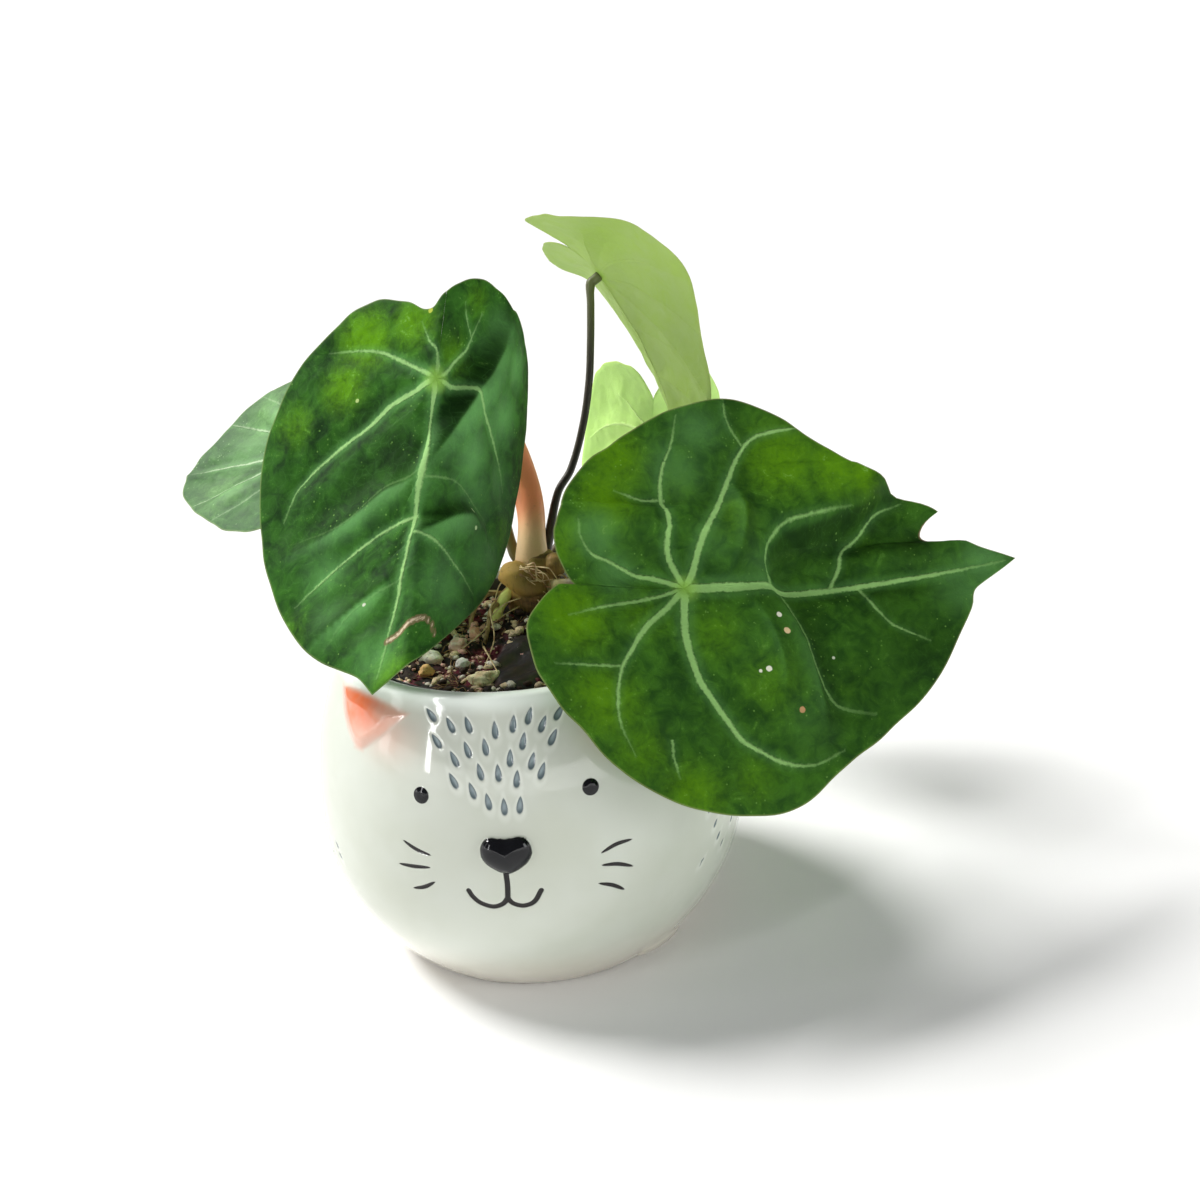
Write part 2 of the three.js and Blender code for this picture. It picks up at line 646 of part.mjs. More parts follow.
// Both faces share one grid of spokes and rings round the stalk joint. The slit between the lobes
// runs from the margin to a small whole disc at the joint.
function bladeSolid(leaf) {
  const frame = leafFrame(leaf);
  const biteAngles = leaf.bite ? [6.5, 7.2, 8.4, 10, 11.6, 12.8, 13.5] : [];
  const plain = SIDE_ANGLES.filter((a) => !leaf.bite || a < 6 || a > 14);
  const right = [...plain, ...biteAngles].sort((a, b) => a - b);
  const angles = [-180, ...SIDE_ANGLES.map((a) => -a).reverse(), 0, ...right, 180];
  const positions = [];
  const sheetPoint = (angle, part) => {
    const margin = marginRadius(leaf, angle);
    const radius = HUB_RADIUS + (margin - HUB_RADIUS) * part;
    const slit = (Math.asin(SLIT_HALF / radius) * 180) / Math.PI;
    const turn = radians(Math.abs(angle) > 179 ? Math.sign(angle) * (180 - slit) : angle);
    const s = radius * Math.cos(turn);
    const w = radius * Math.sin(turn);
    const shifted = w + (s > 0 ? (0.5 * leaf.sideways * s * s) / 1000 : 0);
    const step = 0.25;
    const along = bladePoint(leaf, frame, s + step, shifted).sub(bladePoint(leaf, frame, s - step, shifted));
    const across = bladePoint(leaf, frame, s, shifted + step).sub(bladePoint(leaf, frame, s, shifted - step));
    return { point: bladePoint(leaf, frame, s, shifted), normal: along.cross(across).normalize() };
  };
  const columns = angles.length;
  const rows = leaf.rings + 1;
  const sheet = [];
  for (let k = 0; k < rows; k += 1) {
    for (const angle of angles) sheet.push(sheetPoint(angle, (k / leaf.rings) ** 0.85));
  }
  const hub = { point: new THREE.Vector3(...leaf.joint), normal: frame.up };
  if (leaf.wave) hub.point = bladePoint(leaf, frame, 0, 0);
  sheet.push(hub);
  for (const face of [0.5, -0.5]) {
    for (const { point, normal } of sheet) {
      positions.push(...point.clone().addScaledVector(normal, face * BLADE_THICKNESS));
    }
  }
  const under = sheet.length;
  const centre = sheet.length - 1;
  const index = [];
  const both = (a, b, c) => index.push(a, b, c, a + under, c + under, b + under);
  for (let m = 0; m < columns; m += 1) both(centre, m, (m + 1) % columns);
  for (let k = 0; k < rows - 1; k += 1) {
    for (let m = 0; m < columns - 1; m += 1) {
      const a = k * columns + m;
      both(a, a + columns, a + columns + 1);
      both(a, a + columns + 1, a + 1);
    }
  }
  const wall = (a, b) => index.push(a, a + under, b + under, a, b + under, b);
  const last = (rows - 1) * columns;
  for (let m = 0; m < columns - 1; m += 1) wall(last + m, last + m + 1);
  for (let k = 0; k < rows - 1; k += 1) {
    wall((k + 1) * columns + columns - 1, k * columns + columns - 1);
    wall(k * columns, (k + 1) * columns);
  }
  wall(columns - 1, 0);
  const geometry = new THREE.BufferGeometry();
  geometry.setAttribute('position', new THREE.Float32BufferAttribute(positions, 3));
  geometry.setIndex(index);
  return geometry;
}

// Stalks: each rises from the crown and meets its blade from below, 0.3 mm clear of it.
const STALKS = {
  petiole_a: {
    leaf: 'leaf_a',
    route: [
      [3.6, 29.3, 110.3], [3.8, 33.6, 119.3], [2.1, 38.2, 129.6], [-0.6, 39.2, 140.6], [-3.9, 34, 151.5],
      [-7.6, 22, 160], [-11.3, 11.2, 166.2],
    ],
    radii: [4, 4.4, 3.9, 3, 1.9, 1.5, 0.9],
    approach: 6,
  },
  petiole_b: {
    leaf: 'leaf_b',
    route: [[10.2, 22, 98.6], [17, 15, 101.5], [31, 1.5, 104], [42, -10.5, 105.5]],
    radii: [1.9, 1.6, 1.4, 1.3, 1.3, 1.2],
    approach: 4,
  },
  petiole_c: {
    leaf: 'leaf_c',
    route: [
      [8.4, 32.7, 110.1], [12.3, 39, 123.6], [16.8, 42.5, 130], [21.4, 47.5, 142.7], [24.1, 52.6, 155.4],
      [25.3, 57.2, 167.2], [26, 61.2, 177.7],
    ],
    radii: [1.5, 1.3, 1.2, 1.2, 1.2, 1.2, 1.2, 1.3],
    approach: 4,
  },
  petiole_d: {
    leaf: 'leaf_d',
    route: [[8.7, 34.75, 104.1], [16.5, 45, 111.5], [28.4, 63, 119.5], [37.5, 80, 123.5]],
    radii: [1.5, 1.3, 1.2, 1.2, 1.2],
    approach: 6,
  },
  petiole_e: {
    leaf: 'leaf_e',
    route: [[-2.4, 31.6, 106.8], [-5, 35, 117], [-8, 37.5, 125], [-20, 40, 132], [-37, 41, 136.5]],
    radii: [1.7, 1.5, 1.3, 1.2, 1.2, 1.1],
    approach: 6,
  },
};

for (const [name, leaf] of Object.entries(LEAVES)) {
  const pale = name === 'leaf_c' || name === 'leaf_d';
  add(name, bladeSolid(leaf), pale ? MATERIALS.youngBlade : MATERIALS.blade);
}

for (const [name, stalk] of Object.entries(STALKS)) {
  const leaf = LEAVES[stalk.leaf];
  const frame = leafFrame(leaf);
  const joint = leaf.wave ? bladePoint(leaf, frame, 0, 0) : new THREE.Vector3(...leaf.joint);
  const below = (reach) => joint.clone().addScaledVector(frame.up, -reach);
  const standOff = BLADE_THICKNESS / 2 + GAP + 0.25;
  const route = [...stalk.route, [...below(stalk.approach)], [...below(2.3)], [...below(standOff)]];
  add(name, sweep(route, stalk.radii, 8, 15), name === 'petiole_a' ? MATERIALS.sheath : MATERIALS.stalk);
}

export default plant;
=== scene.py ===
"""A young anthurium in a white glazed pot with an animal face, built piece by piece round its solids."""
import math

import bpy
import numpy as np
from mathutils import Matrix


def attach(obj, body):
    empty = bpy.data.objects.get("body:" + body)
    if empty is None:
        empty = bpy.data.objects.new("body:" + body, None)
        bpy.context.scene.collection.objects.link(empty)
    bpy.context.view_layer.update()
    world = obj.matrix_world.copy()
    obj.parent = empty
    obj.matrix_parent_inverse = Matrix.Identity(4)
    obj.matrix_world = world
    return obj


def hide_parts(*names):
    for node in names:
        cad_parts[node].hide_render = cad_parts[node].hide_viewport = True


bl_info = {
    "name": "Potted Anthurium",
    "version": (1, 0, 0),
    "blender": (4, 5, 0),
    "location": "3D View > Sidebar > Anthurium",
    "description": "Builds a potted anthurium: glazed pot, mix, stem, stalks and veined blades",
    "category": "Add Mesh",
}

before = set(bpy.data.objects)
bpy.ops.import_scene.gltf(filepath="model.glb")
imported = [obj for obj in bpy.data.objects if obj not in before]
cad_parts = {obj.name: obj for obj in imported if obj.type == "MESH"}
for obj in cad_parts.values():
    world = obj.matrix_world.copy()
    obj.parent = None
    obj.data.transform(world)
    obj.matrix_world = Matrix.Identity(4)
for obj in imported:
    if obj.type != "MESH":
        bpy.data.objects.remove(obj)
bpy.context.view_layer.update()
MM = 0.001


def srgb(red, green, blue):
    """A linear colour from a screen colour of three numbers up to 255."""
    shares = (red / 255, green / 255, blue / 255)
    return tuple(c / 12.92 if c <= 0.04045 else ((c + 0.055) / 1.055) ** 2.4 for c in shares)


# Sizes in millimetres and angles in degrees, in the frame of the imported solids.
POT_RADIUS = 65
POT_EQUATOR = 41.4
POT_RISE_ABOVE = 80.5
POT_DROP_BELOW = 60.3
POT_POWER_ABOVE = 2.25
POT_POWER_BELOW = 1.89
POT_MOUTH_RADIUS = 47.8
POT_WALL = 4.2
POT_FLOOR = 6
POT_RIM = 94
TAIL = {"azimuth": 50, "radius": 48, "height": 5.2, "along": 11, "across": 2.9, "up": 3.6}

GROW_TOP = 94
GROW_TOP_RADIUS = 46.4
GROW_FOOT_RADIUS = 34
GROW_WALL = 1
GROW_FOOT = POT_FLOOR + 0.3

SOIL_GAP = 0.4
SOIL_EDGE = 86
SOIL_MOUND = 4.5
SOIL_CENTRE = (1, 22)
SOIL_MOUND_RADIUS = 26
BARE_PATCH = (2, -11, 8.5, 17)

BLADE_THICKNESS = 0.62
MIDRIB_SOFTNESS = 2.5
SLIT_HALF = 0.05
HUB_RADIUS = 2.4

# Painted face, each place as (azimuth, height) on the pot's skin. The fine part of the mesh reaches
# FACE_REACH degrees to either side, and lines are measured on a cylinder of FACE_RADIUS.
FACE_REACH = 33
FACE_RADIUS = 63
EYES = [(-21.7, 70.5), (21.7, 70.5)]
EYE_RADIUS = 2.35
NOSE_CENTRE = (-0.6, 55.2)
NOSE_TURNS = [0, 40, 70, 90, 110, 140, 180, 225, 250, 270, 290, 315, 360]
NOSE_RADII = [7.0, 6.9, 5.0, 4.5, 5.0, 6.9, 7.0, 5.7, 5.6, 5.8, 5.6, 5.7, 7.0]
PHILTRUM = [(-1.2, 50.5), (-1.1, 46), (-1.4, 41.4)]
MOUTH = [
    [(-10.8, 44), (-9.9, 42.1), (-8.1, 40.2), (-5.1, 39.1), (-2.7, 40), (-1.4, 41.8)],
    [(-1.4, 41.8), (-0.3, 40.1), (2.2, 39.1), (4.8, 40.1), (6.8, 43.5)],
]
WHISKERS = [
    [(-27.7, 56.7), (-23.8, 54.7), (-19.7, 53.6)],
    [(-29.5, 49), (-25, 49.3), (-20.2, 49.9)],
    [(-26, 42.2), (-22.6, 43.4), (-19.4, 45.6)],
    [(22.1, 51.4), (26.2, 52.8), (30.5, 52.8)],
    [(21.8, 47.8), (26, 46.8), (30.1, 44.6)],
    [(20.7, 42.5), (24.2, 40.8), (27.4, 38.1)],
]
DASHES = [
    (-20.3, 91), (-14.1, 89), (-8.9, 89.2), (-1.3, 87.9), (3.8, 89.1), (8.4, 90.6), (11.9, 88.3),
    (16.9, 90.4), (-17.9, 84.9), (-12.6, 80.8), (-9, 83.2), (-4.1, 83.9), (2.3, 80.9), (6.1, 84.8),
    (7.9, 79.7), (14.1, 84.8), (-12.8, 75.2), (-7.9, 72.8), (-5.7, 77.7), (-1, 77.3), (3.6, 75.5),
    (10.1, 76.9), (-4, 69.9), (-0.1, 68.4), (3.8, 68.6),
]
SIDE_DASHES = [
    (59.2, 43.6), (60.5, 38.8), (62.7, 34.8), (52.6, 34.5), (57.2, 49.5), (66, 45), (69, 39.5),
    (73, 45), (-57.2, 43.6), (-55.8, 40.8), (-62, 38.5), (-60.7, 34.8), (-66, 45),
]
DASH_HALF_LENGTH = 2.45
DASH_HALF_WIDTH = 0.86
EAR_AZIMUTH = 44.3
EAR_HALF_WIDTH = 17
EAR_TOP_HEIGHT = 91.5
EAR_TIP_HEIGHT = 78.5
EAR_RAISE = 1.0
NOSE_RAISE = 3.1
EYE_RAISE = 0.35
DASH_DEPTH = 0.5
LINE_DEPTH = 0.28

# Stem, roots and the stalks' routes.
STEM_ROUTE = [(1, 26.5, 83), (1.5, 27, 91), (3, 27.5, 98), (4.5, 28.5, 104), (5, 29, 108.5)]
STEM_RADII = [5, 6.6, 8.2, 7.6, 5.2]
STEM_SPOT = (1, 27)
BUD_CENTRE = (10.4, 25, 104.2)
BUD_RADIUS = 3.5
KNOB_CENTRE = (0.6, 22.2, 100.8)
KNOB_HALVES = (7.4, 4.6, 5.4)
HAIR_ROOT_COUNT = 34
TANGLE_COUNT = 16
LAID_ROOTS = [
    [(-8.5, 19, 96), (-9.5, 14, 95), (-7.4, 1.6, 90.5), (-9, -13.8, 87.6)],
    [(-10.5, -1, 89), (-8, -9, 89.4), (-4.4, -18.7, 88.2)],
    [(-8, 22, 98), (-12.5, 20, 99), (-15, 24, 96), (-17, 27, 91)],
    [(-9, 12, 92), (-12, 2, 91.6), (-17, -2, 89)],
]
ROOTS = [
    {"route": [(-1, 25.5, 99), (-5.5, 21.5, 96), (-8.5, 19, 90), (-9.4, 18.4, 82)], "radii": [1.8, 1.4]},
    {"route": [(-4, 27, 95), (-12, 24, 96), (-16, 18, 91.5), (-17, 13, 83)], "radii": [0.8, 0.6]},
    {"route": [(-3, 25, 93), (-9, 17, 94.5), (-10, 7, 91), (-12, 1, 83)], "radii": [0.8, 0.6]},
    {"route": [(6, 22, 94), (9, 14, 94), (8, 6, 91), (6, 1, 83)], "radii": [0.8, 0.6]},
    {"route": [(8, 29, 95), (17, 31, 95.5), (22, 27, 91), (24, 24, 82)], "radii": [1.2, 0.9]},
    {"route": [(2, 32, 94), (0, 38, 93), (-4, 40.5, 89), (-5, 40.5, 81)], "radii": [1.2, 0.9]},
]
STALKS = {
    "petiole_a": {
        "leaf": "leaf_a",
        "foot": (3.2, 28.2, 105),
        "route": [
            (3.6, 29.3, 110.3), (3.8, 33.6, 119.3), (2.1, 38.2, 129.6), (-0.6, 39.2, 140.6),
            (-3.9, 34, 151.5), (-7.6, 22, 160), (-11.3, 11.2, 166.2),
        ],
        "radii": [4, 4.4, 3.9, 3, 1.9, 1.5, 0.9],
        "approach": 6,
    },
    "petiole_b": {
        "leaf": "leaf_b",
        "foot": (6, 25.5, 98),
        "route": [(10.2, 22, 98.6), (17, 15, 101.5), (31, 1.5, 104), (42, -10.5, 105.5)],
        "radii": [1.9, 1.6, 1.4, 1.3, 1.3, 1.2],
        "approach": 4,
    },
    "petiole_c": {
        "leaf": "leaf_c",
        "foot": (6.5, 30, 104.5),
        "route": [
            (8.4, 32.7, 110.1), (12.3, 39, 123.6), (16.8, 42.5, 130), (21.4, 47.5, 142.7),
            (24.1, 52.6, 155.4), (25.3, 57.2, 167.2), (26, 61.2, 177.7),
        ],
        "radii": [1.5, 1.3, 1.2, 1.2, 1.2, 1.2, 1.2, 1.3],
        "approach": 4,
    },
    "petiole_d": {
        "leaf": "leaf_d",
        "foot": (5.5, 31, 102),
        "route": [(8.7, 34.75, 104.1), (16.5, 45, 111.5), (28.4, 63, 119.5), (37.5, 80, 123.5)],
        "radii": [1.5, 1.3, 1.2, 1.2, 1.2],
        "approach": 6,
    },
    "petiole_e": {
        "leaf": "leaf_e",
        "foot": (1.5, 29.5, 103),
        "route": [(-2.4, 31.6, 106.8), (-5, 35, 117), (-8, 37.5, 125), (-20, 40, 132), (-37, 41, 136.5)],
        "radii": [1.7, 1.5, 1.3, 1.2, 1.2, 1.1],
        "approach": 6,
    },
}

# Pebbles: where each lies, its half sizes, its turn and its colour. Some are bent like a bean.
PEBBLES = [
    {"at": (-8, -20), "half": (4.2, 2.9, 2.4), "turn": 20, "colour": srgb(240, 188, 150), "bent": True},
    {"at": (-18.5, 2), "half": (3.3, 2.4, 2.2), "turn": 75, "colour": srgb(242, 168, 160)},
    {"at": (-26, -14), "half": (2.4, 2.0, 1.8), "turn": 10, "colour": srgb(204, 148, 92)},
    {"at": (-25.5, -4.5), "half": (3.8, 2.4, 2.2), "turn": 150, "colour": srgb(244, 202, 174)},
    {"at": (-15.5, -10.5), "half": (2.6, 2.1, 1.8), "turn": 60, "colour": srgb(252, 200, 198)},
    {"at": (-14.5, 9), "half": (4, 1.9, 1.8), "turn": 100, "colour": srgb(230, 148, 134)},
    {"at": (14, -14), "half": (4.4, 3, 2.6), "turn": 140, "colour": srgb(196, 164, 130), "bent": True},
    {"at": (27, 9), "half": (4, 3.1, 2.5), "turn": 35, "colour": srgb(206, 176, 150)},
    {"at": (-22, 24), "half": (3.8, 3, 2.4), "turn": 120, "colour": srgb(190, 150, 132)},
    {"at": (16, 34), "half": (3.7, 2.7, 2.3), "turn": 80, "colour": srgb(210, 184, 150)},
]

# Blades. A blade is flat at first: s runs along the midrib toward the tip and w across it. Each has its
# stalk joint, three turns, the bend of its tip and lobes, and a (right, left) pair for what differs
# between its halves. Bends are in degrees for each 10 mm.
RADIUS_ANGLES = [0, 4, 8, 15, 25, 40, 55, 70, 90, 110, 130, 150, 165, 180]
LEAVES = {
    "leaf_a": {
        "joint": (-14.8, -2.9, 171.7), "turns": (-107.7, -60.3, -35.8), "bend": (-2.2, -0.3),
        "fold": (32.1, 46.7), "curl": (6.2, -2.3), "lobe": (0, 0), "sideways": -2.9,
        "right": [89.5, 85.5, 81.5, 74.5, 68, 62, 57.5, 54.5, 52.5, 49, 43.5, 37.5, 32, 25],
        "left": [89.5, 84.5, 82.5, 80.5, 76.5, 70, 64, 58.5, 49.5, 41, 35, 25.5, 20.5, 25],
    },
    "leaf_b": {
        "joint": (50.4, -20.9, 111.1), "turns": (19.7, -11.9, 36.8), "bend": (-0.6, -1.2),
        "fold": (-24.4, 3), "curl": (1.7, 2.8), "lobe": (0, 0), "sideways": 1.6,
        "right": [107, 95, 91, 86.5, 71, 64, 63, 62, 54, 47, 45, 42.5, 38.5, 32],
        "left": [107, 93, 90, 84.5, 79, 71, 67, 68.5, 64.5, 60, 55, 53, 49, 37],
        "wave": True, "bite": (6.5, 13.5, 10),
    },
    "leaf_c": {
        "joint": (29.5, 64.6, 186.4), "turns": (-12.9, -51.3, -23.7), "bend": (5.2, 12.5),
        "fold": (-0.3, -26.9), "curl": (0, 0), "lobe": (10.4, 17.8), "sideways": -0.95,
        "right": [67, 63.5, 59.5, 54, 49.5, 46, 45, 43, 39.5, 35, 30, 25, 18.5, 8.5],
        "left": [67, 65.5, 62.5, 58.5, 54.5, 45.5, 43, 43, 35, 31.5, 31, 30, 28, 7.5],
    },
    "leaf_d": {
        "joint": (41.8, 94, 125.9), "turns": (107.2, -70, 25.2), "bend": (6.9, 6.8),
        "fold": (-37.6, -49.8), "curl": (0, 0), "lobe": (0, 0), "sideways": 0.6,
        "right": [58, 55, 51.5, 47.5, 45.5, 44, 42, 36, 32, 30.5, 29, 27, 24, 15.5],
        "left": [58, 55, 51.5, 47.5, 45, 43, 41, 37, 33.5, 30.5, 28.5, 26.5, 23.5, 15.5],
    },
    "leaf_e": {
        "joint": (-61.2, 36.6, 143.7), "turns": (160.1, -11.9, -22.2), "bend": (0, 2.9),
        "fold": (-0.6, -16.8), "curl": (3.2, 0.9), "lobe": (0, 0), "sideways": 0,
        "right": [54, 52.5, 51.5, 49.5, 45.5, 41, 39, 37, 33.5, 31, 28.5, 27, 25, 17.5],
        "left": [54, 52, 51, 47.5, 45.5, 43, 39, 36.5, 34, 31, 28, 27, 25, 18],
    },
}

# Standing wave of leaf B: its crest along the midrib, and its height, against the distance w.
CREST_W = [-46, -33, -20, -11, -1, 5, 12, 16, 18, 20, 23, 27, 32, 38]
CREST_S = [34, 35, 34, 32, 28.5, 26.5, 26.5, 30, 36, 44, 55, 62, 68, 74]
HEIGHT_W = [-50, -42, -30, -10, 0, 8, 20, 40]
HEIGHT = [0, 1, 4, 4, 5, 8, 9, 9]

# Veins in the flat blade, each as its route, its half width at the start and end, and its strength.
VEINS = {
    "leaf_a": [
        ([(0, 0), (20, 0), (40, 0), (60, 0), (84, 0)], 1.25, 0.3, 1),
        ([(0, 0), (-3, -8), (-6, -15), (-8, -21), (-8.5, -29), (-8, -37)], 0.9, 0.25, 0.9),
        ([(0, 0), (4, -8), (8, -15.5), (13.5, -21.5), (19.5, -31), (29, -41), (38, -44)], 1.05, 0.25, 1),
        ([(40, 0), (42.5, -8), (49.5, -19.5), (58, -30), (61.5, -33.5)], 0.55, 0.3, 0.95),
        ([(27, 0), (31, -11.5), (36, -17.5), (41, -24), (44.5, -38)], 0.4, 0.2, 0.16),
        ([(58, 0), (62, -8), (67, -14.5), (74, -19.5)], 0.4, 0.2, 0.16),
        ([(0, 0), (-4, 0), (-8, -1), (-10.5, -4), (-15.5, -7)], 0.8, 0.2, 0.75),
        ([(0, 0), (-2, 3), (-8, 8.5), (-11.5, 11.5), (-16, 13), (-22, 15.5)], 0.8, 0.25, 0.85),
        ([(-15, 12.6), (-18, 10), (-23, 8)], 0.35, 0.2, 0.6),
        ([(0, 0), (1, 6), (0, 13.5), (4, 17.5), (10.5, 27), (15.5, 33), (22, 38)], 0.95, 0.3, 0.85),
        ([(44.5, 1), (46.5, 9.5), (49.5, 17.5), (52.5, 23.5), (55, 28)], 0.45, 0.25, 0.75),
        ([(29, 0), (27, 11.5), (29, 19.5), (34, 30)], 0.35, 0.2, 0.3),
    ],
    "leaf_b": [
        ([(0, 0), (25, 0), (50, 0), (75, 0), (103, 0)], 1.75, 0.35, 1),
        ([(0, 0), (-8, 3), (-14, 4), (-22, 8), (-27, 10), (-31, 17)], 1, 0.3, 0.95),
        ([(0, 0), (-4, 10), (-4, 18), (-5, 26), (-4, 35), (0, 44), (2, 52)], 1.2, 0.3, 1),
        ([(-5, 26), (-11, 26), (-18, 28)], 0.5, 0.4, 0.8),
        ([(0, 0), (3, 5), (6, 14), (12, 24), (17, 34), (21, 41), (26, 46), (34, 48), (41, 48),
          (48, 44), (53, 40)], 1.3, 0.3, 1),
        ([(22, 44), (18, 51), (18, 60)], 0.45, 0.25, 0.5),
        ([(26, 1), (26, 10), (27, 14), (31, 18), (38, 20), (44, 21), (52, 22)], 0.6, 0.3, 0.7),
        ([(46, 0), (50, 6), (52, 12), (58, 16), (64, 22), (73, 25)], 0.75, 0.3, 0.8),
        ([(0, 0), (-6, -2), (-14, -4), (-24, -6), (-34, -9)], 0.8, 0.3, 0.8),
        ([(0, 0), (-6, -6), (-13, -12), (-19, -20), (-22, -25), (-24, -33), (-24, -40), (-21, -48)],
         1.15, 0.25, 0.95),
        ([(-22, -24), (-28, -24), (-40, -24)], 0.5, 0.3, 0.7),
        ([(0, 0), (-1, -6), (-2, -15), (0, -28), (2, -32), (6, -39), (10, -45), (16, -49), (22, -52),
          (30, -53), (39, -50)], 1.5, 0.35, 1),
        ([(30, 0), (34, -14), (36, -28), (40, -36), (44, -38), (50, -40)], 0.35, 0.65, 0.5),
        ([(56, -2), (59, -8), (63, -14), (72, -20)], 0.5, 0.3, 0.75),
        ([(-10, -46), (-10, -50), (-9, -54)], 0.5, 0.3, 0.7),
    ],
}
# Blades seen faintly or from below take this fan: each vein's bearing, reach and bow toward the tip.
FAN_VEINS = [(32, 46, 14), (-32, 46, 14), (62, 40, 20), (-62, 40, 20), (98, 31, 16), (-98, 31, 16),
             (138, 23, 8), (-138, 23, 8)]
SIDE_VEINS = [(16, 34), (30, 30), (42, 22)]

# Pale yellow-green patches (s, w, radius, strength), patches of painted sheen in a cool grey-green,
# patches of painted shade in the hollows and under folds, and creases of the quilting: a route, its
# height, its width on the left and on the right of the route, and how dark the painted shade on the
# left side and how pale the painted sheen on the right side is.
PATCHES = {
    "leaf_a": [(-12, -26, 11, 0.85), (2, -31, 9, 0.75), (-16, -10, 10, 0.7), (12, -46, 9, 0.5),
               (-30, -8, 8, 1), (34, 40, 8, 0.5), (-8, 6, 8, 0.6), (50, 36, 7, 0.4), (-26, 12, 7, 0.5),
               (70, -34, 10, 0.4), (84, 4, 8, 0.6)],
    "leaf_b": [(34, 38, 16, 0.75), (50, 34, 12, 0.8), (58, 30, 8, 0.8), (-34, -10, 12, 0.9),
               (-28, -34, 13, 0.75), (-22, 26, 11, 0.9), (-18, 38, 12, 0.8), (-20, -48, 12, 0.55),
               (60, 14, 6, 0.35), (-34, 12, 9, 0.6), (-6, -60, 12, 0.7), (6, -14, 12, 0.5),
               (16, 20, 9, 0.5), (-14, -8, 12, 0.5), (20, -30, 14, 0.45), (0, 30, 8, 0.4),
               (12, -56, 10, 0.5), (46, -30, 10, 0.3)],
    "leaf_c": [(20, 20, 18, 0.6), (-6, -16, 12, 0.8), (2, 2, 8, 1)],
    "leaf_d": [(10, 10, 20, 0.5)],
    "leaf_e": [(20, -20, 18, 0.5), (30, 14, 14, 0.5)],
}
# Painted sheen: patches where a blade is paled toward its cool grey-green, as light glancing off the velvet.
PAINTED_SHEEN_PATCHES = {
    "leaf_a": [(18, 16, 12, 0.8), (30, 24, 14, 0.7), (4, 30, 12, 0.8), (-12, 34, 9, 0.9), (14, -6, 5, 0.3),
               (56, 14, 14, 0.6), (64, 24, 10, 0.5), (-14, 20, 8, 0.4), (78, -2, 10, 0.6), (66, -22, 8, 0.5),
               (53, -27, 9, 0.6), (-20, 26, 9, 0.7), (44, 30, 12, 0.7), (22, 34, 10, 0.8)],
    "leaf_b": [(0, 36, 12, 0.7), (8, 48, 10, 0.8), (-26, 14, 8, 0.8), (20, -20, 12, 0.3), (24, 6, 7, 0.6),
               (88, -6, 12, 0.8), (30, -40, 10, 0.4), (-20, 4, 8, 0.8), (10, 12, 8, 0.5), (97, 1, 10, 1)],
    "leaf_c": [(-10, 20, 12, 0.5)],
    "leaf_d": [],
    "leaf_e": [(26, -4, 16, 0.5)],
}
# Painted shade: patches where a blade is darkened in its hollows and under its folds.
PAINTED_SHADE_PATCHES = {
    "leaf_a": [(-7, 14, 6, 0.8), (-12, 4, 7, 0.5), (10, -16, 8, 0.3), (22, -10, 9, 0.9),
               (30, -20, 8, 0.8), (12, -22, 8, 0.5), (38, -31, 8, 0.45), (24, 8, 5, 0.3),
               (-20, 20, 6, 0.4)],
    "leaf_b": [(74, 11, 8, 0.75), (52, 12, 9, 0.55), (62, -8, 10, 0.4), (12, 26, 8, 0.35), (-12, 10, 6, 0.3),
               (70, -26, 16, 0.65), (36, -44, 8, 0.3), (54, -34, 14, 0.5), (66, 18, 8, 0.6),
               (70, 28, 6, 0.85), (62, 20, 6, 0.85), (54, 16, 6, 0.7)],
    "leaf_c": [(44, 14, 8, 0.5), (24, 10, 8, 0.35)],
    "leaf_d": [(14, -4, 9, 0.3)],
    "leaf_e": [(22, 6, 8, 0.4)],
}
CREASES = {
    "leaf_a": [
        ([(28, 0), (18, 4), (8, 9), (-4, 17), (-24, 29)], 3.6, 3.4, 11, 1, 0.95),
        ([(47, 0), (41, 7), (37, 13), (35, 20), (38, 27)], 2.4, 2.8, 9, 0.9, 0.85),
        ([(47, -38), (42, -26), (37, -18), (32, -11), (28, -1)], 1.5, 4.5, 6, 0.55, 0.9),
        ([(74, -27), (68, -18), (62, -10), (57, -2)], 1.5, 4, 6, 0.6, 0.8),
        ([(34, -44), (30, -34), (22, -26), (16, -17)], 1.1, 4, 5, 0.4, 0.3),
        ([(80, -14), (76, -9), (72, -3)], 0.8, 3, 4, 0.5, 0.4),
    ],
    "leaf_b": [
        ([(28.5, -1), (32, -11), (34, -20), (35, -33), (34, -48)], 0.8, 4.5, 6, 0.8, 0.6),
        ([(73, 37), (62, 27), (55, 23), (44, 20), (36, 18), (30, 16), (26.5, 12), (27, 4)],
         1.2, 5.5, 4, 1, 0),
        ([(14, 38), (19, 26), (18, 14), (14, 3)], 1.3, 3.5, 5, 0.55, 0.6),
        ([(19, -2), (23, -12), (25, -24), (24, -35)], 0.7, 3, 3.5, 0.4, 0.5),
        ([(18, 60), (18, 52), (20, 45)], 0.9, 3, 3, 0.5, 0.7),
    ],
    "leaf_c": [([(50, 6), (38, 12), (26, 12), (14, 8)], 1.2, 5, 6, 0.35, 0.2)],
    "leaf_d": [],
    "leaf_e": [
        ([(26, -28), (18, -16), (10, -6)], 1.2, 4, 6, 0.4, 0.7),
        ([(36, 20), (24, 13), (12, 4)], 1.2, 4, 6, 0.4, 0.7),
    ],
}
SCAR = [(75, 0), (73.5, 3), (70.5, 6.5), (68.5, 10), (69.5, 13), (72, 15)]
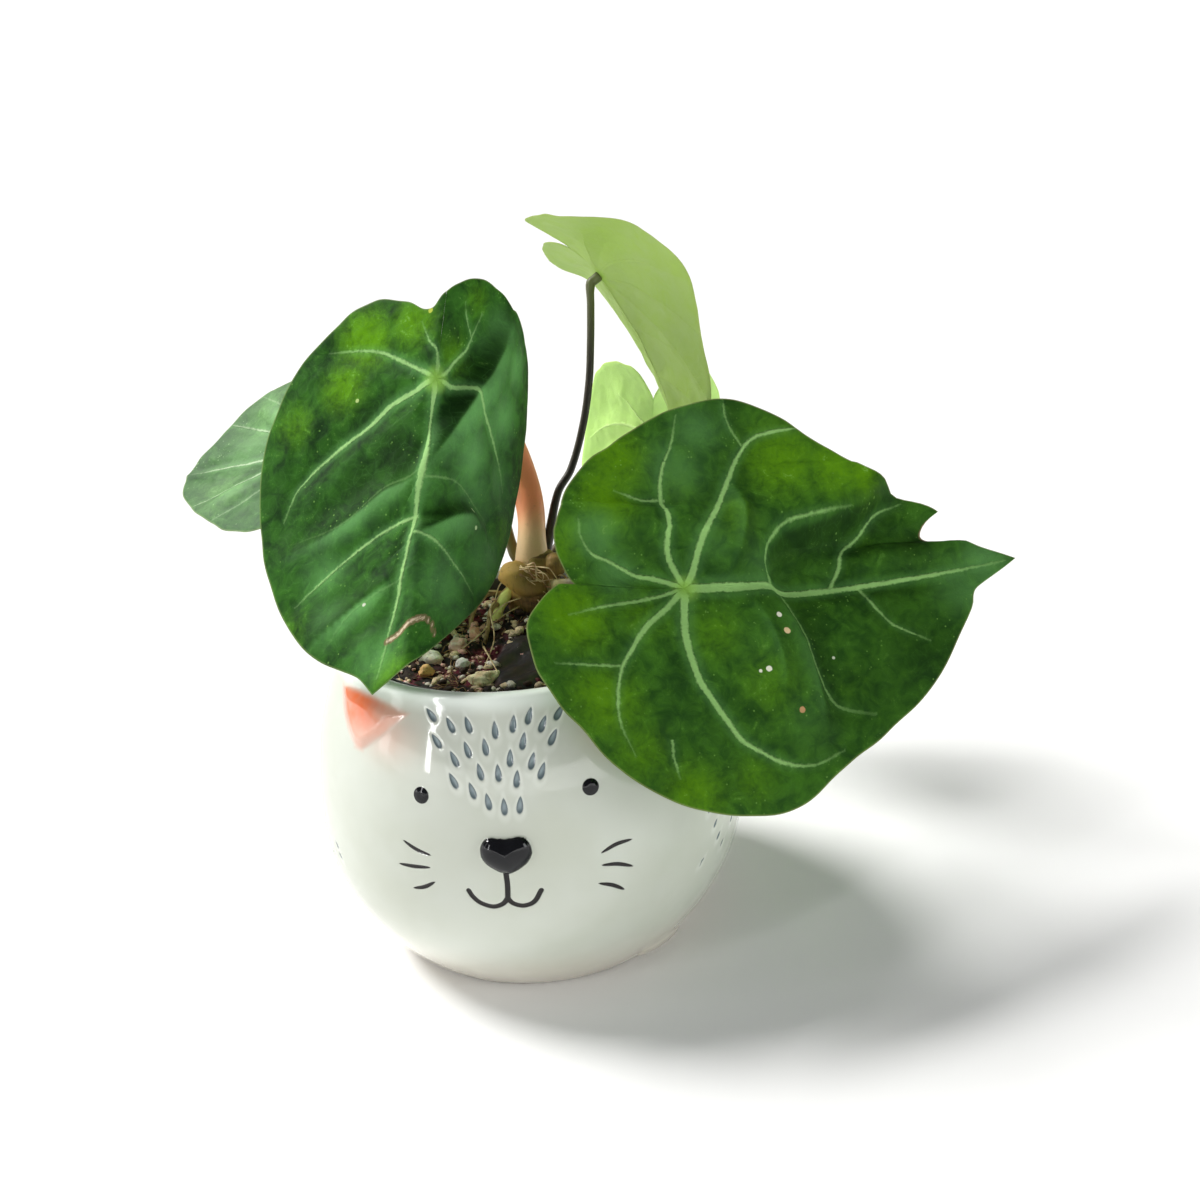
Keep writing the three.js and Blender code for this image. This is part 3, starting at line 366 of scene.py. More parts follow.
SPOTS = {
    "leaf_a": [(-19.4, -4.8, 0.8, srgb(168, 180, 66)), (6, -26, 0.55, srgb(172, 196, 120)),
               (33, 21, 0.7, srgb(190, 214, 160)), (38, 22, 0.6, srgb(190, 214, 160)),
               (64, -10, 0.5, srgb(206, 214, 190))],
    "leaf_b": [(26, -10, 0.8, srgb(226, 226, 206)), (27.5, -15, 1, srgb(222, 196, 150)),
               (20, -26, 0.85, srgb(226, 228, 208)), (17.5, -26.5, 0.5, srgb(226, 228, 208)),
               (28, -38, 0.85, srgb(190, 148, 104)), (42, -22, 0.45, srgb(206, 214, 190))],
}
# Colours of each blade. The cool grey-green is the colour of the painted sheen; it also tints the net of
# fine veins, the glow beside the veins and the under side.
LOOKS = {
    "leaf_a": {
        "dark": srgb(20, 50, 17), "middle": srgb(54, 106, 32), "patch": srgb(98, 156, 8),
        "cool": srgb(116, 180, 104), "vein": srgb(156, 202, 126), "rim": srgb(120, 142, 86),
        "below": srgb(112, 150, 96), "below_vein": srgb(150, 184, 130),
    },
    "leaf_b": {
        "dark": srgb(30, 66, 20), "middle": srgb(62, 110, 30), "patch": srgb(92, 144, 8),
        "cool": srgb(90, 142, 78), "vein": srgb(152, 200, 118), "rim": srgb(128, 140, 84),
        "below": srgb(108, 148, 88), "below_vein": srgb(150, 186, 126),
    },
    "leaf_c": {
        "dark": srgb(80, 124, 46), "middle": srgb(104, 140, 50), "patch": srgb(146, 182, 62),
        "cool": srgb(168, 196, 116), "vein": srgb(176, 204, 140), "rim": srgb(168, 186, 110),
        "below": srgb(162, 194, 92), "below_vein": srgb(174, 204, 104),
    },
    # Leaf D's pale greens are its young colour, brightened as painted light shining through the thin blade.
    "leaf_d": {
        "dark": srgb(150, 196, 84), "middle": srgb(182, 228, 112), "patch": srgb(214, 244, 150),
        "cool": srgb(184, 224, 130), "vein": srgb(200, 230, 150), "rim": srgb(190, 214, 120),
        "below": srgb(192, 234, 130), "below_vein": srgb(214, 242, 164),
    },
    "leaf_e": {
        "dark": srgb(46, 88, 40), "middle": srgb(80, 126, 66), "patch": srgb(140, 194, 112),
        "cool": srgb(146, 204, 130), "vein": srgb(196, 222, 180), "rim": srgb(150, 170, 120),
        "below": srgb(120, 160, 104), "below_vein": srgb(160, 194, 140),
    },
}
# How strongly each blade mirrors light, and its share of the full count of rings: the two that are
# mostly hidden take fewer.
GLOSS = {"leaf_a": 0.06, "leaf_b": 0.06, "leaf_c": 0.2, "leaf_d": 0.2, "leaf_e": 0.3}
RING_SHARES = {"leaf_a": 1, "leaf_b": 1, "leaf_c": 1, "leaf_d": 0.5, "leaf_e": 0.7}


# Curves and fields over arrays of numbers.
def smooth(x, low=0.0, high=1.0):
    """A cubic step, 3 t^2 - 2 t^3, from 0 at low to 1 at high."""
    t = np.clip((x - low) / (high - low), 0, 1)
    return t * t * (3 - 2 * t)


def through(xs, ys, x):
    """The smooth curve through the points (xs, ys), with each slope taken from the two neighbours."""
    xs, ys = np.asarray(xs, float), np.asarray(ys, float)
    slope = np.empty_like(ys)
    slope[1:-1] = (ys[2:] - ys[:-2]) / (xs[2:] - xs[:-2])
    slope[0] = (ys[1] - ys[0]) / (xs[1] - xs[0])
    slope[-1] = (ys[-1] - ys[-2]) / (xs[-1] - xs[-2])
    i = np.clip(np.searchsorted(xs, x, side="right") - 1, 0, len(xs) - 2)
    h = xs[i + 1] - xs[i]
    t = np.clip((x - xs[i]) / h, 0, 1)
    start = ys[i] * (2 * t**3 - 3 * t**2 + 1) + h * slope[i] * (t**3 - 2 * t**2 + t)
    return start + ys[i + 1] * (3 * t**2 - 2 * t**3) + h * slope[i + 1] * (t**3 - t**2)


def smooth_route(points, count):
    """Evenly spaced points on a smooth curve through the given ones, measured along their chords."""
    points = np.asarray(points, float)
    chord = np.concatenate([[0], np.cumsum(np.linalg.norm(np.diff(points, axis=0), axis=1))])
    fine = np.linspace(0, chord[-1], 500)
    curve = np.stack([through(chord, column, fine) for column in points.T], 1)
    run = np.concatenate([[0], np.cumsum(np.linalg.norm(np.diff(curve, axis=0), axis=1))])
    even = np.linspace(0, run[-1], count)
    return np.stack([np.interp(even, run, column) for column in curve.T], 1)


def ripples(places, size, seed, count=16):
    """Smooth uneven relief, about -1 to 1: a sum of sine waves about size long, in random directions."""
    random = np.random.default_rng(seed)
    places = np.asarray(places, float)
    total = np.zeros(places.shape[:-1])
    for _ in range(count):
        direction = random.normal(size=places.shape[-1])
        direction *= 2 * np.pi / (size * random.uniform(0.6, 1.7) * np.linalg.norm(direction))
        total += np.sin(places @ direction + random.uniform(0, 2 * np.pi))
    return total / math.sqrt(2 * count)


def across_route(route, x, y):
    """For each place (x, y): its distance to the left of the route, the plain distance, and how far
    along the route, from 0 to 1, its nearest point is. The ends count as open, so past them the
    plain distance grows while the first stays small."""
    shape = np.shape(x)
    x, y = np.ravel(x), np.ravel(y)
    gap = (x[:, None] - route[:, 0]) ** 2 + (y[:, None] - route[:, 1]) ** 2
    nearest = np.argmin(gap, axis=1)
    heading = np.gradient(route, axis=0)
    heading /= np.linalg.norm(heading, axis=1)[:, None]
    off = np.stack([x, y], 1) - route[nearest]
    left = heading[nearest, 0] * off[:, 1] - heading[nearest, 1] * off[:, 0]
    plain = np.sqrt(gap[np.arange(len(x)), nearest])
    return left.reshape(shape), plain.reshape(shape), (nearest / (len(route) - 1)).reshape(shape)


# Meshes.
def make_object(name, points, faces, material, numbers=None, vectors=None):
    """A smooth-shaded object from points in millimetres and arrays of triangles or quads."""
    mesh = bpy.data.meshes.new(name)
    corners = np.concatenate([f.ravel() for f in faces]).astype(np.int32)
    sizes = np.concatenate([np.full(len(f), f.shape[1]) for f in faces])
    starts = np.concatenate([[0], np.cumsum(sizes)[:-1]]).astype(np.int32)
    mesh.vertices.add(len(points))
    mesh.vertices.foreach_set("co", (np.asarray(points) * MM).astype(np.float32).ravel())
    mesh.loops.add(len(corners))
    mesh.loops.foreach_set("vertex_index", corners)
    mesh.polygons.add(len(starts))
    mesh.polygons.foreach_set("loop_start", starts)
    mesh.polygons.foreach_set("use_smooth", np.ones(len(starts), bool))
    mesh.update(calc_edges=True)
    if mesh.validate():
        raise RuntimeError(f"{name} has faulty faces")
    for key, values in (numbers or {}).items():
        attribute = mesh.attributes.new(key, "FLOAT", "POINT")
        attribute.data.foreach_set("value", np.asarray(values, np.float32).ravel())
    for key, values in (vectors or {}).items():
        attribute = mesh.attributes.new(key, "FLOAT_VECTOR", "POINT")
        attribute.data.foreach_set("vector", np.asarray(values, np.float32).ravel())
    mesh.materials.append(material)
    piece = bpy.data.objects.new(name, mesh)
    bpy.context.scene.collection.objects.link(piece)
    return piece


def ring_faces(rings, columns, first=0, closed=True):
    """Quads between rings of points that are numbered ring by ring from first."""
    row = first + np.arange(rings - 1)[:, None] * columns
    j = np.arange(columns if closed else columns - 1)[None, :]
    k = (j + 1) % columns
    return np.stack([row + j, row + k, row + columns + k, row + columns + j], -1).reshape(-1, 4)


def fan_faces(centre, first, columns, toward_end):
    """Triangles from one point to a ring, facing out at a surface's start or at its end."""
    j = first + np.arange(columns)
    k = first + (np.arange(columns) + 1) % columns
    middle = np.full(columns, centre)
    return np.stack([middle, j, k] if toward_end else [middle, k, j], 1)


def closed_surface(rings, start=None, end=None):
    """Points and faces of the surface through an array of rings, closed at both ends by a point."""
    count, columns = rings.shape[:2]
    start = rings[0].mean(0) if start is None else start
    end = rings[-1].mean(0) if end is None else end
    points = np.concatenate([rings.reshape(-1, 3), [start], [end]])
    last = count * columns
    faces = [
        ring_faces(count, columns),
        fan_faces(last, 0, columns, False),
        fan_faces(last + 1, last - columns, columns, True),
    ]
    return points, faces


def with_ends(values):
    """A ring array's values in the order of closed_surface's points, the ends as their ring's mean."""
    return np.concatenate([values.ravel(), [values[0].mean()], [values[-1].mean()]])


def tube_rings(route, radii, sides):
    """Rings round a route: centre + radius x (cos of the turn x normal + sin x binormal), the normal
    carried along the route with the least twist. radii may be one a ring or one a point."""
    heading = np.gradient(route, axis=0)
    heading /= np.linalg.norm(heading, axis=1)[:, None]
    normal = np.cross(heading[0], (0.3, 0.2, 0.9) if abs(heading[0][2]) < 0.9 else (1, 0, 0))
    normals = []
    for direction in heading:
        normal = normal - direction * (normal @ direction)
        normal /= np.linalg.norm(normal)
        normals.append(normal)
    normals = np.array(normals)
    binormals = np.cross(heading, normals)
    turn = 2 * np.pi * np.arange(sides) / sides
    radii = np.asarray(radii, float)
    radii = radii[:, None] if radii.ndim == 1 else radii
    out = np.cos(turn)[None, :, None] * normals[:, None] + np.sin(turn)[None, :, None] * binormals[:, None]
    return route[:, None] + radii[:, :, None] * out


def pile(parts):
    """Many (points, faces) as one, with the faces renumbered."""
    points, faces, total = [], [], 0
    for part_points, part_faces in parts:
        points.append(part_points)
        faces += [f + total for f in part_faces]
        total += len(part_points)
    triangles = [f for f in faces if f.shape[1] == 3]
    quads = [f for f in faces if f.shape[1] == 4]
    joined = [np.concatenate(group) for group in (quads, triangles) if group]
    return np.concatenate(points), joined


# Materials.
class Value:
    """A number in a material. Arithmetic on it adds Math nodes."""

    def __init__(self, graph, socket):
        self.graph = graph
        self.socket = socket

    def math(self, operation, *others):
        inputs = dict(enumerate((self,) + others))
        return Value(self.graph, self.graph.node("ShaderNodeMath", {"operation": operation}, inputs))

    def __add__(self, other):
        return self.math("ADD", other)

    def __mul__(self, other):
        return self.math("MULTIPLY", other)

    def __sub__(self, other):
        return self.math("SUBTRACT", other)

    def __rsub__(self, other):
        return self.math("MULTIPLY_ADD", -1.0, other)

    def __abs__(self):
        return self.math("ABSOLUTE")

    __radd__ = __add__
    __rmul__ = __mul__

    def most(self, other):
        return self.math("MAXIMUM", other)

    def least(self, other):
        return self.math("MINIMUM", other)

    def step(self, low, high, start=0.0, end=1.0):
        """A soft step from start at low to end at high."""
        settings = {"interpolation_type": "SMOOTHSTEP"}
        inputs = {"Value": self, "From Min": low, "From Max": high, "To Min": start, "To Max": end}
        return Value(self.graph, self.graph.node("ShaderNodeMapRange", settings, inputs))


class Graph:
    """A material's nodes round one Principled shader."""

    def __init__(self, name, **constants):
        self.material = bpy.data.materials.new(name)
        self.material.use_nodes = True
        self.nodes = self.material.node_tree.nodes
        self.links = self.material.node_tree.links
        self.shader = self.nodes["Principled BSDF"]
        for key, value in constants.items():
            self.shader.inputs[key.replace("_", " ")].default_value = value

    def node(self, kind, settings=None, inputs=None, output=0):
        """Adds a node: its settings first, then the values or links of its sockets."""
        node = self.nodes.new(kind)
        for key, value in (settings or {}).items():
            setattr(node, key, value)
        for key, value in (inputs or {}).items():
            self.feed(node.inputs[key], value)
        return node.outputs[output]

    def feed(self, socket, value):
        if isinstance(value, Value):
            value = value.socket
        if isinstance(value, bpy.types.NodeSocket):
            self.links.new(value, socket)
        elif socket.type == "RGBA" and len(value) == 3:
            socket.default_value = (*value, 1)
        else:
            socket.default_value = value

    def number(self, name):
        return Value(self, self.node("ShaderNodeAttribute", {"attribute_name": name}, output="Fac"))

    def vector(self, name):
        return self.node("ShaderNodeAttribute", {"attribute_name": name}, output="Vector")

    def place(self):
        """Object coordinates, in metres."""
        return self.node("ShaderNodeTexCoord", output="Object")

    def parts(self, vector):
        node = self.node("ShaderNodeSeparateXYZ", inputs={0: vector}).node
        return [Value(self, socket) for socket in node.outputs]

    def noise(self, vector, scale, detail=3.0, roughness=0.55, distortion=0.0):
        inputs = {"Vector": vector, "Scale": scale, "Detail": detail, "Roughness": roughness,
                  "Distortion": distortion}
        return Value(self, self.node("ShaderNodeTexNoise", None, inputs, "Fac"))

    def cells(self, vector, scale, feature="F1"):
        inputs = {"Vector": vector, "Scale": scale}
        return Value(self, self.node("ShaderNodeTexVoronoi", {"feature": feature}, inputs, "Distance"))

    def away(self, vector, place):
        """Distance from a fixed place."""
        inputs = {0: vector, 1: place}
        return Value(self, self.node("ShaderNodeVectorMath", {"operation": "DISTANCE"}, inputs, "Value"))

    def mix(self, share, first, second):
        settings = {"data_type": "RGBA", "clamp_factor": True}
        return self.node("ShaderNodeMix", settings, {0: share, 6: first, 7: second}, 2)

    def bump(self, height, distance, strength, normal=None):
        """Relief of a height from 0 to 1, distance metres deep."""
        inputs = {"Height": height, "Distance": distance, "Strength": strength}
        if normal is not None:
            inputs["Normal"] = normal
        return self.node("ShaderNodeBump", None, inputs)

    def finish(self, **inputs):
        for key, value in inputs.items():
            self.feed(self.shader.inputs[key.replace("_", " ")], value)
        return self.material


def glaze_material(settings):
    """White glaze: faint mottling, airbrushed ears, sunk grey dashes and inked lines, with painted light
    on the lip and a painted highlight and painted shade at the dashes.
    """
    g = Graph("glaze", Coat_Roughness=0.03, Specular_IOR_Level=0.3)
    place = g.place()
    cloud = g.noise(place, 28, 3)
    fine = g.noise(place, 420, 2)
    colour = g.mix(cloud.step(0.35, 0.7), settings.glaze, settings.glaze_shade)
    foot = g.parts(place)[2].step(0.024, 0.0)
    colour = g.mix(foot * 0.5, colour, srgb(222, 205, 188))
    # Painted light: the lip is paled toward near white for the light on its upward face.
    painted_lip_light = g.parts(place)[2].step(0.0905, 0.0945)
    colour = g.mix(painted_lip_light * 0.9, colour, srgb(236, 244, 236))
    blush = g.number("blush")
    worn = g.noise(place, 160, 2).step(0.2, 0.75, 0.75, 1.0)
    colour = g.mix(blush * worn, colour, settings.ear)
    dash = g.number("dash")
    inside = dash.step(0.12, -0.12)
    # The dashes' grey glaze is real; it darkens at each dash's sunk edge as painted shade and pales toward
    # the middle as a painted highlight.
    rim = dash.step(0.0, -0.75)
    shade = g.mix(rim, srgb(84, 98, 104), settings.dash)
    colour = g.mix(inside, colour, shade)
    # Painted highlight: a faint pale ring just round each dash, where its edge catches the light.
    painted_rim_highlight = dash.step(1.1, 0.25) * dash.step(-0.1, 0.2)
    colour = g.mix(painted_rim_highlight * 0.2, colour, srgb(244, 248, 242))
    ink = g.number("ink").step(0.1, -0.1)
    colour = g.mix(ink, colour, settings.ink)
    black = g.number("black").step(0.12, -0.12)
    colour = g.mix(black, colour, srgb(14, 15, 19))
    rough = 0.07 + 0.05 * fine + 0.1 * inside
    soft = g.bump(fine, 0.00002, 0.5)
    waves = g.bump(g.noise(place, 55, 2), 0.0008, 0.45, soft)
    coat = 0.6 - 0.5 * black.most(ink)
    return g.finish(Base_Color=colour, Roughness=rough, Coat_Weight=coat, Normal=waves)


def plastic_material():
    """Black moulded plastic, dusty where the mix has touched it."""
    g = Graph("grow_pot_plastic")
    place = g.place()
    dust = g.noise(place, 120, 4).step(0.5, 0.75)
    colour = g.mix(dust * 0.6, srgb(30, 31, 28), srgb(88, 84, 68))
    grain = g.noise(place, 900, 2)
    rough = 0.42 + 0.3 * dust
    return g.finish(Base_Color=colour, Roughness=rough, Normal=g.bump(grain, 0.00008, 0.5))


def mix_material():
    """Dark damp potting mix: near black, with brown crumbs and reddish dust."""
    g = Graph("potting_mix")
    place = g.place()
    crumbs = g.cells(place, 520)
    lumps = g.noise(place, 260, 5, 0.7)
    red = g.noise(place, 90, 3).step(0.46, 0.6)
    bare = g.number("bare")
    colour = g.mix(lumps.step(0.4, 0.7), srgb(20, 16, 15), srgb(58, 42, 34))
    left = g.parts(place)[0].step(0.004, -0.014)
    colour = g.mix(red * left * 0.85, colour, srgb(122, 22, 50))
    colour = g.mix(bare * 0.92, colour, srgb(22, 22, 23))
    rough = 0.85 - 0.45 * bare
    rest = 1 - bare
    relief = g.bump(lumps * (0.04 + 0.96 * rest), 0.0012, 0.8, g.bump(crumbs * rest, 0.0006, 0.6))
    return g.finish(Base_Color=colour, Roughness=rough, Normal=relief)


def grain_material():
    """Small stones and bark bits, each with its own tint from cream through pink to maroon."""
    g = Graph("grains")
    place = g.place()
    tint = g.number("tint")
    colour = g.mix(tint.step(0.2, 0.35), srgb(62, 44, 34), srgb(250, 224, 186))
    colour = g.mix(tint.step(0.5, 0.6), colour, srgb(252, 194, 186))
    colour = g.mix(tint.step(0.75, 0.8), colour, srgb(106, 34, 48))
    colour = g.mix(tint.step(0.9, 0.93), colour, srgb(250, 240, 226))
    pits = g.noise(place, 1400, 3)
    # Painted shade: the pits are darkened toward brown.
    colour = g.mix(pits.step(0.55, 0.35) * 0.5, colour, srgb(70, 46, 36))
    return g.finish(Base_Color=colour, Roughness=0.8 + 0.1 * pits, Normal=g.bump(pits, 0.0003, 0.7))


def pebble_material(name, tone):
    """Pumice: its own tone, with pores, paler dust and darker stains."""
    g = Graph(name)
    place = g.place()
    pores = g.cells(place, 1300).step(0.05, 0.45)
    cloud = g.noise(place, 330, 4)
    tone = tuple(min(1.0, c * 1.45 + 0.02) for c in tone)
    light = tuple(min(1.0, c * 1.35 + 0.04) for c in tone)
    dark = tuple(c * 0.42 for c in tone)
    colour = g.mix(cloud.step(0.3, 0.7), tone, light)
    colour = g.mix(g.noise(place, 520, 3).step(0.56, 0.72) * 0.7, colour, dark)
    # Painted shade: the pores are darkened.
    colour = g.mix(pores.step(0.4, 0.0) * 0.6, colour, dark)
    relief = g.bump(pores, 0.0003, 0.7, g.bump(cloud, 0.0008, 0.6))
    return g.finish(Base_Color=colour, Roughness=0.75 + 0.2 * cloud, Normal=relief)


def stem_material(settings):
    """Yellow-brown stem with dry fibrous rings, greener where it is young. A painted highlight pales its
    left side, and painted shade darkens the undersides of the bud and the knob.
    """
    g = Graph("stem_skin")
    place = g.place()
    upright = g.node("ShaderNodeMapping", None, {"Vector": place, "Scale": (1, 1, 0.22)})
    fibre = g.noise(upright, 700, 4, 0.65)
    cloud = g.noise(place, 120, 3)
    ring = g.number("ring")
    colour = g.mix(cloud.step(0.35, 0.65), settings.stem, srgb(140, 118, 56))
    # Painted highlight: the left side of the stem is paled toward bright yellow.
    colour = g.mix(g.parts(place)[0].step(0.003, -0.005) * 0.75, colour, srgb(232, 182, 92))
    colour = g.mix(fibre.step(0.52, 0.72) * 0.5, colour, srgb(96, 64, 36))
    # The ring attribute marks the dark leaf-scar rings on the stem, and painted shade under the bud and the
    # knob.
    colour = g.mix(ring, colour, srgb(92, 60, 36))
    foot = (g.parts(place)[2] + 0.002 * cloud).step(0.0995, 0.0965)
    colour = g.mix(foot * 0.75, colour, g.mix(fibre.step(0.4, 0.6), srgb(66, 44, 28), srgb(132, 98, 62)))
    relief = g.bump(fibre, 0.0005, 0.7)
    return g.finish(Base_Color=colour, Roughness=0.5 + 0.25 * fibre, Normal=relief)


def root_material(name, pale, dark):
    """A root: pale, stained in patches, with fine fuzz."""
    g = Graph(name)
    place = g.place()
    stain = g.noise(place, 300, 4)
    fuzz = g.noise(place, 1600, 3)
    colour = g.mix(stain.step(0.42, 0.7), pale, dark)
    return g.finish(Base_Color=colour, Roughness=0.6 + 0.2 * fuzz, Normal=g.bump(fuzz, 0.0002, 0.6))


def stalk_material(name, foot, middle, top):
    """A stalk: its colour runs from foot to top, with fine stripes and specks along it, and painted
    shade down one side.
    """
    g = Graph(name)
    place = g.place()
    along = g.number("along")
    painted_shade_side = g.number("round")
    stripe = g.noise(g.node("ShaderNodeMapping", None, {"Vector": place, "Scale": (1, 1, 0.12)}), 900, 3)
    speck = g.noise(place, 500, 3)
    colour = g.mix(along.step(0.0, 0.16), foot, middle)
    colour = g.mix(along.step(0.62, 1.0), colour, top)
    darker = g.mix(0.55, colour, srgb(58, 52, 24))
    colour = g.mix(speck.step(0.6, 0.8) * 0.4, colour, darker)
    # Painted shade: one side of each stalk is darkened toward dark olive.
    colour = g.mix(painted_shade_side.step(0.58, 0.8) * along.step(0.08, 0.2) * 0.85, colour, darker)
    relief = g.bump(stripe, 0.00025, 0.6)
    return g.finish(Base_Color=colour, Roughness=0.4 + 0.2 * stripe, Normal=relief)


def blade_material(name, look, vein_count, spots, scarred, gloss):
    """A velvety blade. The veins are attributes (distance, half width, strength) in millimetres, so
    their edges stay sharp: a vein shows where its half width is more than the distance."""
    g = Graph(name, Specular_IOR_Level=gloss)
    flat = g.vector("flat")
    upper = g.number("upper")
    edge = g.number("edge")
    patch = g.number("patch")
    # The next two attributes carry painted sheen and painted shade.
    cool = g.number("cool")
    hollow = g.number("hollow")
    broad = g.noise(flat, 0.045, 3, 0.6)
    middle = g.noise(flat, 0.2, 5, 0.65, 0.6)
    fine = g.noise(flat, 1.0, 4, 0.65)

    # Veins, and the paler glow beside them.
    vein = None
    halo = None
    for k in range(vein_count):
        across, half, strength = g.parts(g.vector(f"vein_{k:02d}"))
        inside = half - abs(across) + (fine - 0.5) * 1.1 + (middle - 0.5) * 0.8
        line = inside.step(-0.3, 0.32) * strength
        glow = (inside + half * 1.3).step(-1.8, 1.2) * strength
        vein = line if vein is None else vein.most(line)
        halo = glow if halo is None else halo.most(glow)

    # Upper face: mottled ground, patches, painted sheen, painted shade in the hollows, a net of fine
    # veins, specks, veins and the joint.
    tone = middle * 0.6 + broad * 0.4
    colour = g.mix(tone.step(0.34, 0.66), look["dark"], look["middle"])
    mottle = patch * 0.95 + (middle - 0.5) * (patch + 0.1) + (fine - 0.5) * 0.8 * patch
    mottle = mottle.step(0.12, 0.95)
    colour = g.mix(mottle * 0.85, colour, look["patch"])
    # Painted sheen: the blade is paled toward its cool grey-green on the sheen patches and the creases' pale
    # sides.
    painted_sheen = (cool * 0.8 + (broad - 0.5) * 0.7 * cool + (fine - 0.5) * 0.3 * cool).step(0.05, 1.0)
    colour = g.mix(painted_sheen * 0.75, colour, look["cool"])
    # Painted shade: a deeper green on the shade patches and the creases' dark sides.
    painted_shade_colour = tuple(c * 0.42 for c in look["dark"])
    colour = g.mix(hollow * 0.8, colour, painted_shade_colour)
    net = g.cells(g.node("ShaderNodeVectorMath", {"operation": "SCALE"}, {0: flat, "Scale": 0.3}),
                  1.0, "DISTANCE_TO_EDGE").step(0.05, 0.0)
    colour = g.mix(net * (middle - 0.3) * 0.2, colour, look["cool"])
    speck = g.cells(flat, 0.6).step(0.2, 0.1) * g.noise(flat, 0.07, 2).step(0.52, 0.64)
    dust = g.cells(flat, 1.3).step(0.16, 0.08) * middle.step(0.5, 0.66)
    pale = g.mix(0.45, look["patch"], look["vein"])
    colour = g.mix(speck.most(dust * 0.5) * 0.55, colour, pale)
    blotch = (middle + (fine - 0.5) * 0.5).step(0.64, 0.74) * (patch + 0.1).least(1.0)
    colour = g.mix(blotch * 0.6, colour, g.mix(0.5, look["patch"], look["vein"]))
    colour = g.mix(halo * 0.3, colour, look["cool"])
    colour = g.mix(vein * (0.66 + 0.34 * fine), colour, look["vein"])
    star = g.away(flat, (0.5, 0, 0)).step(5.5, 0.5)
    colour = g.mix(star * 0.7, colour, srgb(152, 204, 86))

    # Under side.
    below = g.mix(tone.step(0.3, 0.7), look["below"], look["cool"])
    below = g.mix(mottle * 0.5, below, look["patch"])
    # Painted shade on the under side too.
    below = g.mix(hollow * 0.5, below, look["dark"])
    below = g.mix(vein * 0.7, below, look["below_vein"])
    below = g.mix(star * 0.6, below, srgb(160, 206, 70))
    colour = g.mix(upper.step(0.35, 0.65), below, colour)

    # Rim, spots and dried tissue.
    colour = g.mix(edge.step(0.55, 0.1) * 0.6, colour, look["rim"])
    for s, w, radius, tone_of_spot in spots:
        ragged = g.away(flat, (s, w, 0)) + (fine - 0.5) * 0.5
        colour = g.mix(ragged.step(radius + 0.12, radius - 0.12), colour, tone_of_spot)
    if scarred:
        scar = g.number("scar") + (fine - 0.5) * 1.3
        colour = g.mix(scar.step(1.25, 0.85) * 0.8, colour, srgb(120, 104, 74))
        colour = g.mix(scar.step(0.65, 0.15), colour, srgb(206, 188, 160))

    rough = 0.5 + 0.16 * middle + 0.1 * fine
    pile_relief = g.bump(fine, 0.00012, 0.5)
    swell = g.bump(middle, 0.0009, 0.4, pile_relief)
    vein_relief = g.bump(vein, 0.0004, 0.9, swell)
    return g.finish(Base_Color=colour, Roughness=rough, Normal=vein_relief)


# Pot.
def pot_radius(z):
    """Radius of the egg-shaped body: the widest ring's, times (1 - reach^power)^(1 / power)."""
    above = z > POT_EQUATOR
    reach = np.where(above, (z - POT_EQUATOR) / POT_RISE_ABOVE, (POT_EQUATOR - z) / POT_DROP_BELOW)
    power = np.where(above, POT_POWER_ABOVE, POT_POWER_BELOW)
    return POT_RADIUS * (1 - np.clip(reach, 0, 1) ** power) ** (1 / power)


